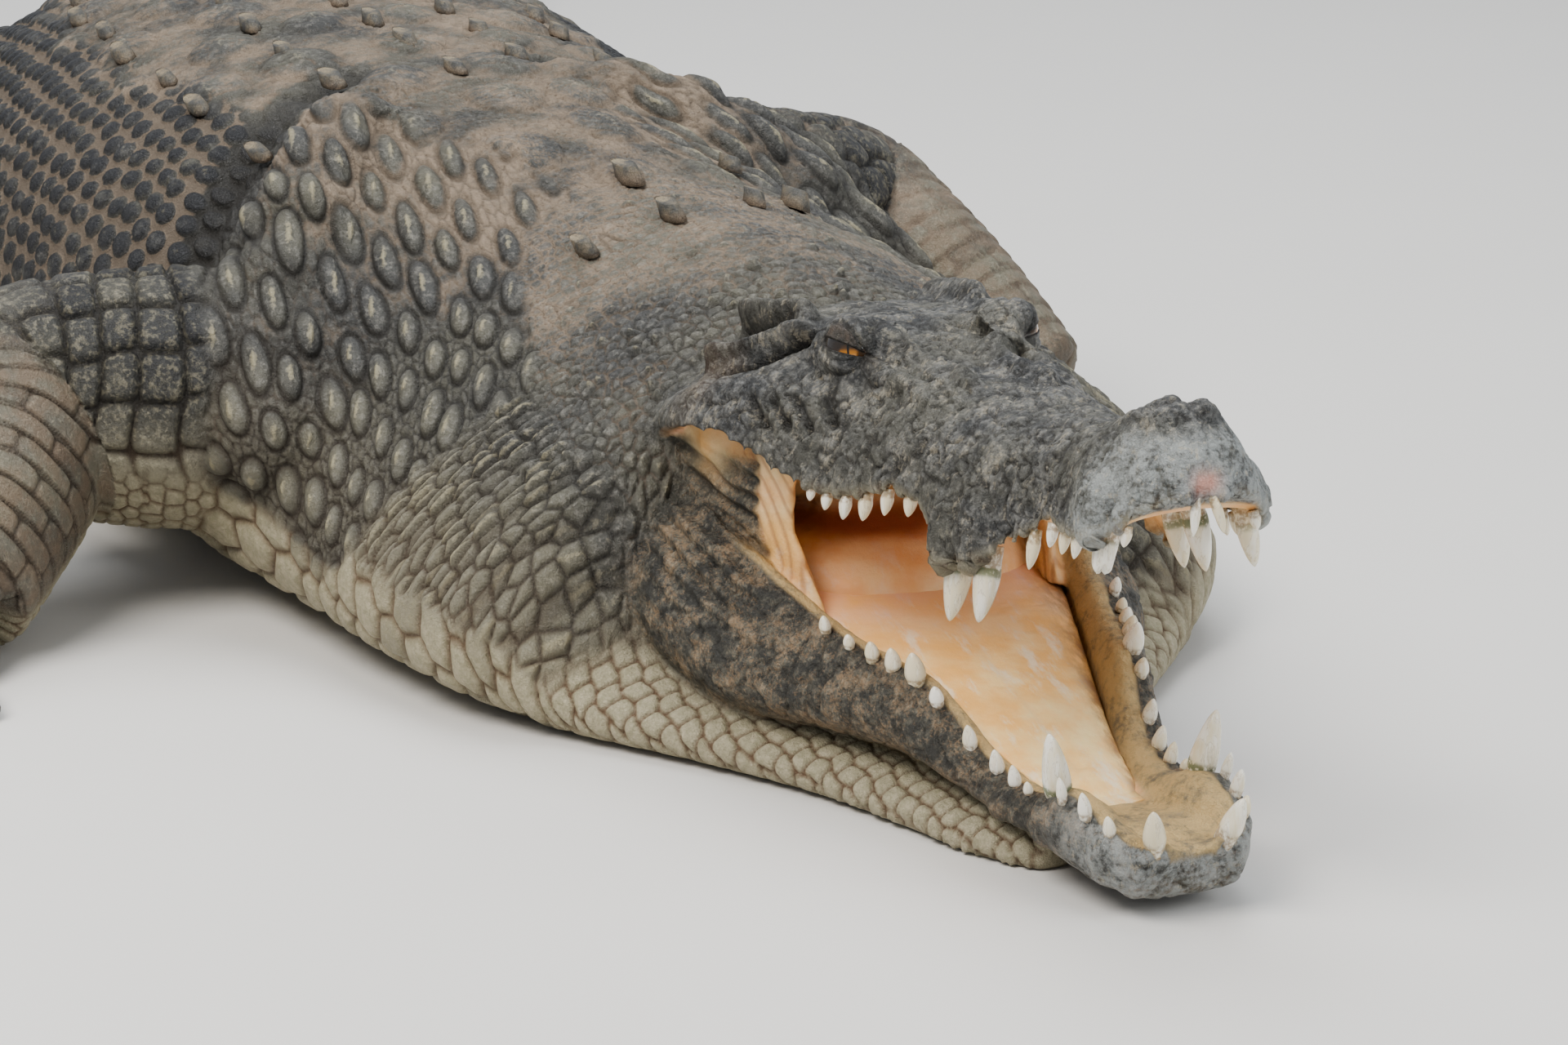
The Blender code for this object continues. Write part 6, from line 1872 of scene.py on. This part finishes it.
class CROC_PG_colours(bpy.types.PropertyGroup):
    c_grey: tint("Grey", "Dark grey of the hide", (0.076, 0.075, 0.07))
    c_olive: tint("Olive", "Olive grey of the hide", (0.145, 0.137, 0.104))
    c_light_grey: tint("Light grey", "Dry, worn grey", (0.31, 0.295, 0.262))
    c_head: tint("Head", "Dark grey of the head", (0.03, 0.031, 0.032))
    c_head_light: tint("Head light", "Lighter grey of the head", (0.215, 0.212, 0.2))
    c_jaw: tint("Jaw", "Black of the lower jaw", (0.046, 0.044, 0.038))
    c_jaw_light: tint("Jaw light", "Grey of the lower jaw", (0.17, 0.158, 0.122))
    c_tan: tint("Tan", "Rubbed tan patches", (0.3, 0.2, 0.115))
    c_pale: tint("Pale", "Cream of throat and belly", (0.52, 0.46, 0.33))
    c_pale_olive: tint("Pale olive", "Olive cream of the lower neck", (0.37, 0.335, 0.22))
    # Black is also painted shade in the ear slit, the hollow under the flap and the creases by the eye.
    c_black: tint("Black", "Glossy black scales", (0.02, 0.02, 0.022))
    c_keel: tint("Keel", "Yellowish keels", (0.4, 0.355, 0.235))
    c_rust: tint("Rust", "Brown mud on the limbs", (0.235, 0.155, 0.098))
    c_dust: tint("Dust", "Dried mud", (0.3, 0.232, 0.17))
    c_dust_light: tint("Light dust", "Pale dried mud", (0.45, 0.362, 0.275))
    # The groove colours are painted shade in grooves, cracks, folds and slits.
    c_groove: tint("Groove", "Dark grooves", (0.024, 0.021, 0.017))
    c_groove_warm: tint("Warm groove", "Brown grooves of the pale skin", (0.15, 0.085, 0.045))
    c_shelf: tint("Shelf", "Tan of the shelf inside the lower teeth", (0.6, 0.44, 0.22))
    # The crease colour is painted shade in the folds and creases of the mouth.
    c_crease: tint("Crease", "Dark red of the folds in the mouth", (0.27, 0.07, 0.035))
    c_cream: tint("Cream", "Cream flecks", (0.5, 0.44, 0.33))
    c_frost: tint("Frost", "Pale blue grey of the snout tip", (0.4, 0.42, 0.41))
    c_lining: tint("Mouth", "Orange of the mouth", (0.86, 0.53, 0.2))
    c_lining_light: tint("Mouth light", "Lighter orange of the mouth", (0.93, 0.76, 0.42))
    c_pink: tint("Pink", "Pink of the back of the mouth", (0.8, 0.36, 0.26))
    # The cheek colour is also painted shade on the cheek web under the lip and on the upper fold at the back
    # of the mouth.
    c_cheek: tint("Cheek", "Brown orange of the cheek", (0.3, 0.145, 0.055))
    c_film: tint("Film", "Whitish film on the tongue", (0.86, 0.8, 0.66))
    c_ivory: tint("Ivory", "Teeth", (0.84, 0.81, 0.72))
    c_ivory_warm: tint("Warm ivory", "Yellower teeth", (0.74, 0.66, 0.48))
    c_stain: tint("Stain", "Brown stain on the teeth", (0.28, 0.18, 0.09))
    c_green: tint("Green", "Green growth at the gums", (0.13, 0.16, 0.07))
    c_claw: tint("Claw", "Dark claws", (0.05, 0.042, 0.035))
    c_amber: tint("Amber", "Iris", (0.42, 0.17, 0.018))
    c_amber_dark: tint("Dark amber", "Outer iris", (0.06, 0.03, 0.012))
    # The dark rest of the eyeball, also painted over its upper half as the shadow of the upper lid.
    c_eyeball_and_lid_shade: tint("Eye white", "Rest of the eyeball", (0.022, 0.016, 0.011))


class CROC_PG_stage(bpy.types.PropertyGroup):
    floor: tint("Floor", "Floor colour", (0.72, 0.7, 0.67))
    light: FloatProperty(name="Light", default=150.0, min=0, unit="POWER",
                         description="Strength of the soft light from above")
    sky: FloatProperty(name="Sky", description="Strength of the light from all round", default=0.45, min=0)


class Step:
    bl_options = {"REGISTER", "UNDO"}


class CROC_OT_hide(Step, bpy.types.Operator):
    """Build the whole skin, from the snout to the tip of the tail"""
    bl_idname = "croc.hide"
    bl_label = "Hide"

    def execute(self, context):
        scene = context.scene
        build_hide(scene.croc_hide, finishes(scene.croc_colours)["hide"])
        return {"FINISHED"}


class CROC_OT_teeth(Step, bpy.types.Operator):
    """Set the teeth in both jaws"""
    bl_idname = "croc.teeth"
    bl_label = "Teeth"

    def execute(self, context):
        build_teeth(finishes(context.scene.croc_colours)["teeth"])
        return {"FINISHED"}


class CROC_OT_tongue(Step, bpy.types.Operator):
    """Lay the tongue in the floor of the mouth"""
    bl_idname = "croc.tongue"
    bl_label = "Tongue"

    def execute(self, context):
        build_tongue(finishes(context.scene.croc_colours)["tongue"])
        return {"FINISHED"}


class CROC_OT_eyes(Step, bpy.types.Operator):
    """Set the eyeballs behind the lids"""
    bl_idname = "croc.eyes"
    bl_label = "Eyes"

    def execute(self, context):
        build_eyes(finishes(context.scene.croc_colours)["eyes"])
        return {"FINISHED"}


class CROC_OT_claws(Step, bpy.types.Operator):
    """Put the claws on the inner three digits of each limb"""
    bl_idname = "croc.claws"
    bl_label = "Claws"

    def execute(self, context):
        build_claws(finishes(context.scene.croc_colours)["claws"])
        return {"FINISHED"}


class CROC_OT_keels(Step, bpy.types.Operator):
    """Stand the keels in rows on the nape and back"""
    bl_idname = "croc.keels"
    bl_label = "Keels"

    def execute(self, context):
        build_knobs(context.scene.croc_keels, finishes(context.scene.croc_colours)["keels"])
        return {"FINISHED"}


class CROC_OT_crest(Step, bpy.types.Operator):
    """Stand the crest's scutes on the tail, in two rows that merge to one"""
    bl_idname = "croc.crest"
    bl_label = "Tail crest"

    def execute(self, context):
        build_crest(context.scene.croc_crest, finishes(context.scene.croc_colours)["crest"])
        return {"FINISHED"}


class CROC_OT_stage(Step, bpy.types.Operator):
    """Lay the floor, hang the soft lights and set the camera"""
    bl_idname = "croc.stage"
    bl_label = "Stage"

    def execute(self, context):
        values = context.scene.croc_stage
        material, p, shader = finish_base("pale floor", 0.7)
        darker = tuple(0.96 * v for v in values.floor)
        p.put(p.mix(p.noise(p.place(), 3.0, 3.0), tuple(values.floor), darker), shader.inputs["Base Color"])
        mesh = bpy.data.meshes.new("floor")
        corners = [(x * FLOOR_REACH, y * FLOOR_REACH, 0) for x, y in ((-1, -1), (1, -1), (1, 1), (-1, 1))]
        mesh.from_pydata(corners, [], [(0, 1, 2, 3)])
        mesh.materials.append(material)
        floor = bpy.data.objects.new("floor", mesh)
        context.scene.collection.objects.link(floor)
        world = bpy.data.worlds.new("soft sky")
        world.use_nodes = True
        world.node_tree.nodes["Background"].inputs["Color"].default_value = (0.88, 0.93, 1, 1)
        world.node_tree.nodes["Background"].inputs["Strength"].default_value = values.sky
        context.scene.world = world
        context.scene.view_settings.look = "AgX - Medium High Contrast"
        for name, place, size, share in LAMPS:
            lamp = bpy.data.lights.new(name, "AREA")
            lamp.shape, lamp.size, lamp.energy = "DISK", size, values.light * share
            lamp.color = (1, 0.97, 0.93) if name == "key" else (0.95, 0.98, 1)
            hung = bpy.data.objects.new(name, lamp)
            hung.location = place
            hung.rotation_euler = (Vector(place) - Vector(LAMP_AIM)).to_track_quat("Z", "Y").to_euler()
            context.scene.collection.objects.link(hung)
        lens = bpy.data.cameras.new("camera")
        lens.lens, lens.sensor_width = CAMERA_LENS, 36
        eye = bpy.data.objects.new("camera", lens)
        turn, rise = math.radians(CAMERA_TURN), math.radians(CAMERA_RISE)
        back = Vector((math.sin(turn) * math.cos(rise), -math.cos(turn) * math.cos(rise), math.sin(rise)))
        eye.location = Vector(CAMERA_PLACE) + Vector(HINGE)
        eye.rotation_euler = back.to_track_quat("Z", "Y").to_euler()
        context.scene.collection.objects.link(eye)
        context.scene.camera = eye
        return {"FINISHED"}


GROUPS = (("croc_hide", CROC_PG_hide), ("croc_keels", CROC_PG_scutes), ("croc_crest", CROC_PG_scutes),
          ("croc_colours", CROC_PG_colours), ("croc_stage", CROC_PG_stage))
STEPS = (CROC_OT_stage, CROC_OT_hide, CROC_OT_teeth, CROC_OT_tongue, CROC_OT_eyes, CROC_OT_claws,
         CROC_OT_keels, CROC_OT_crest)


class CROC_PT_panel(bpy.types.Panel):
    bl_label = "Saltwater crocodile"
    bl_idname = "CROC_PT_panel"
    bl_space_type = "VIEW_3D"
    bl_region_type = "UI"
    bl_category = "Crocodile"

    def draw(self, context):
        for step in STEPS:
            self.layout.operator(step.bl_idname)
        for title, group in GROUPS:
            box = self.layout.box()
            for name in group.__annotations__:
                box.prop(getattr(context.scene, title), name)


CLASSES = tuple(dict.fromkeys(group for _, group in GROUPS)) + STEPS + (CROC_PT_panel,)


def register():
    for made in CLASSES:
        bpy.utils.register_class(made)
    for title, group in GROUPS:
        setattr(bpy.types.Scene, title, PointerProperty(type=group))


def unregister():
    for title, _ in GROUPS:
        delattr(bpy.types.Scene, title)
    for made in reversed(CLASSES):
        bpy.utils.unregister_class(made)


def main():
    register()
    for step in STEPS:
        group, name = step.bl_idname.split(".")
        getattr(getattr(bpy.ops, group), name)()


if __name__ == "__main__":
    main()
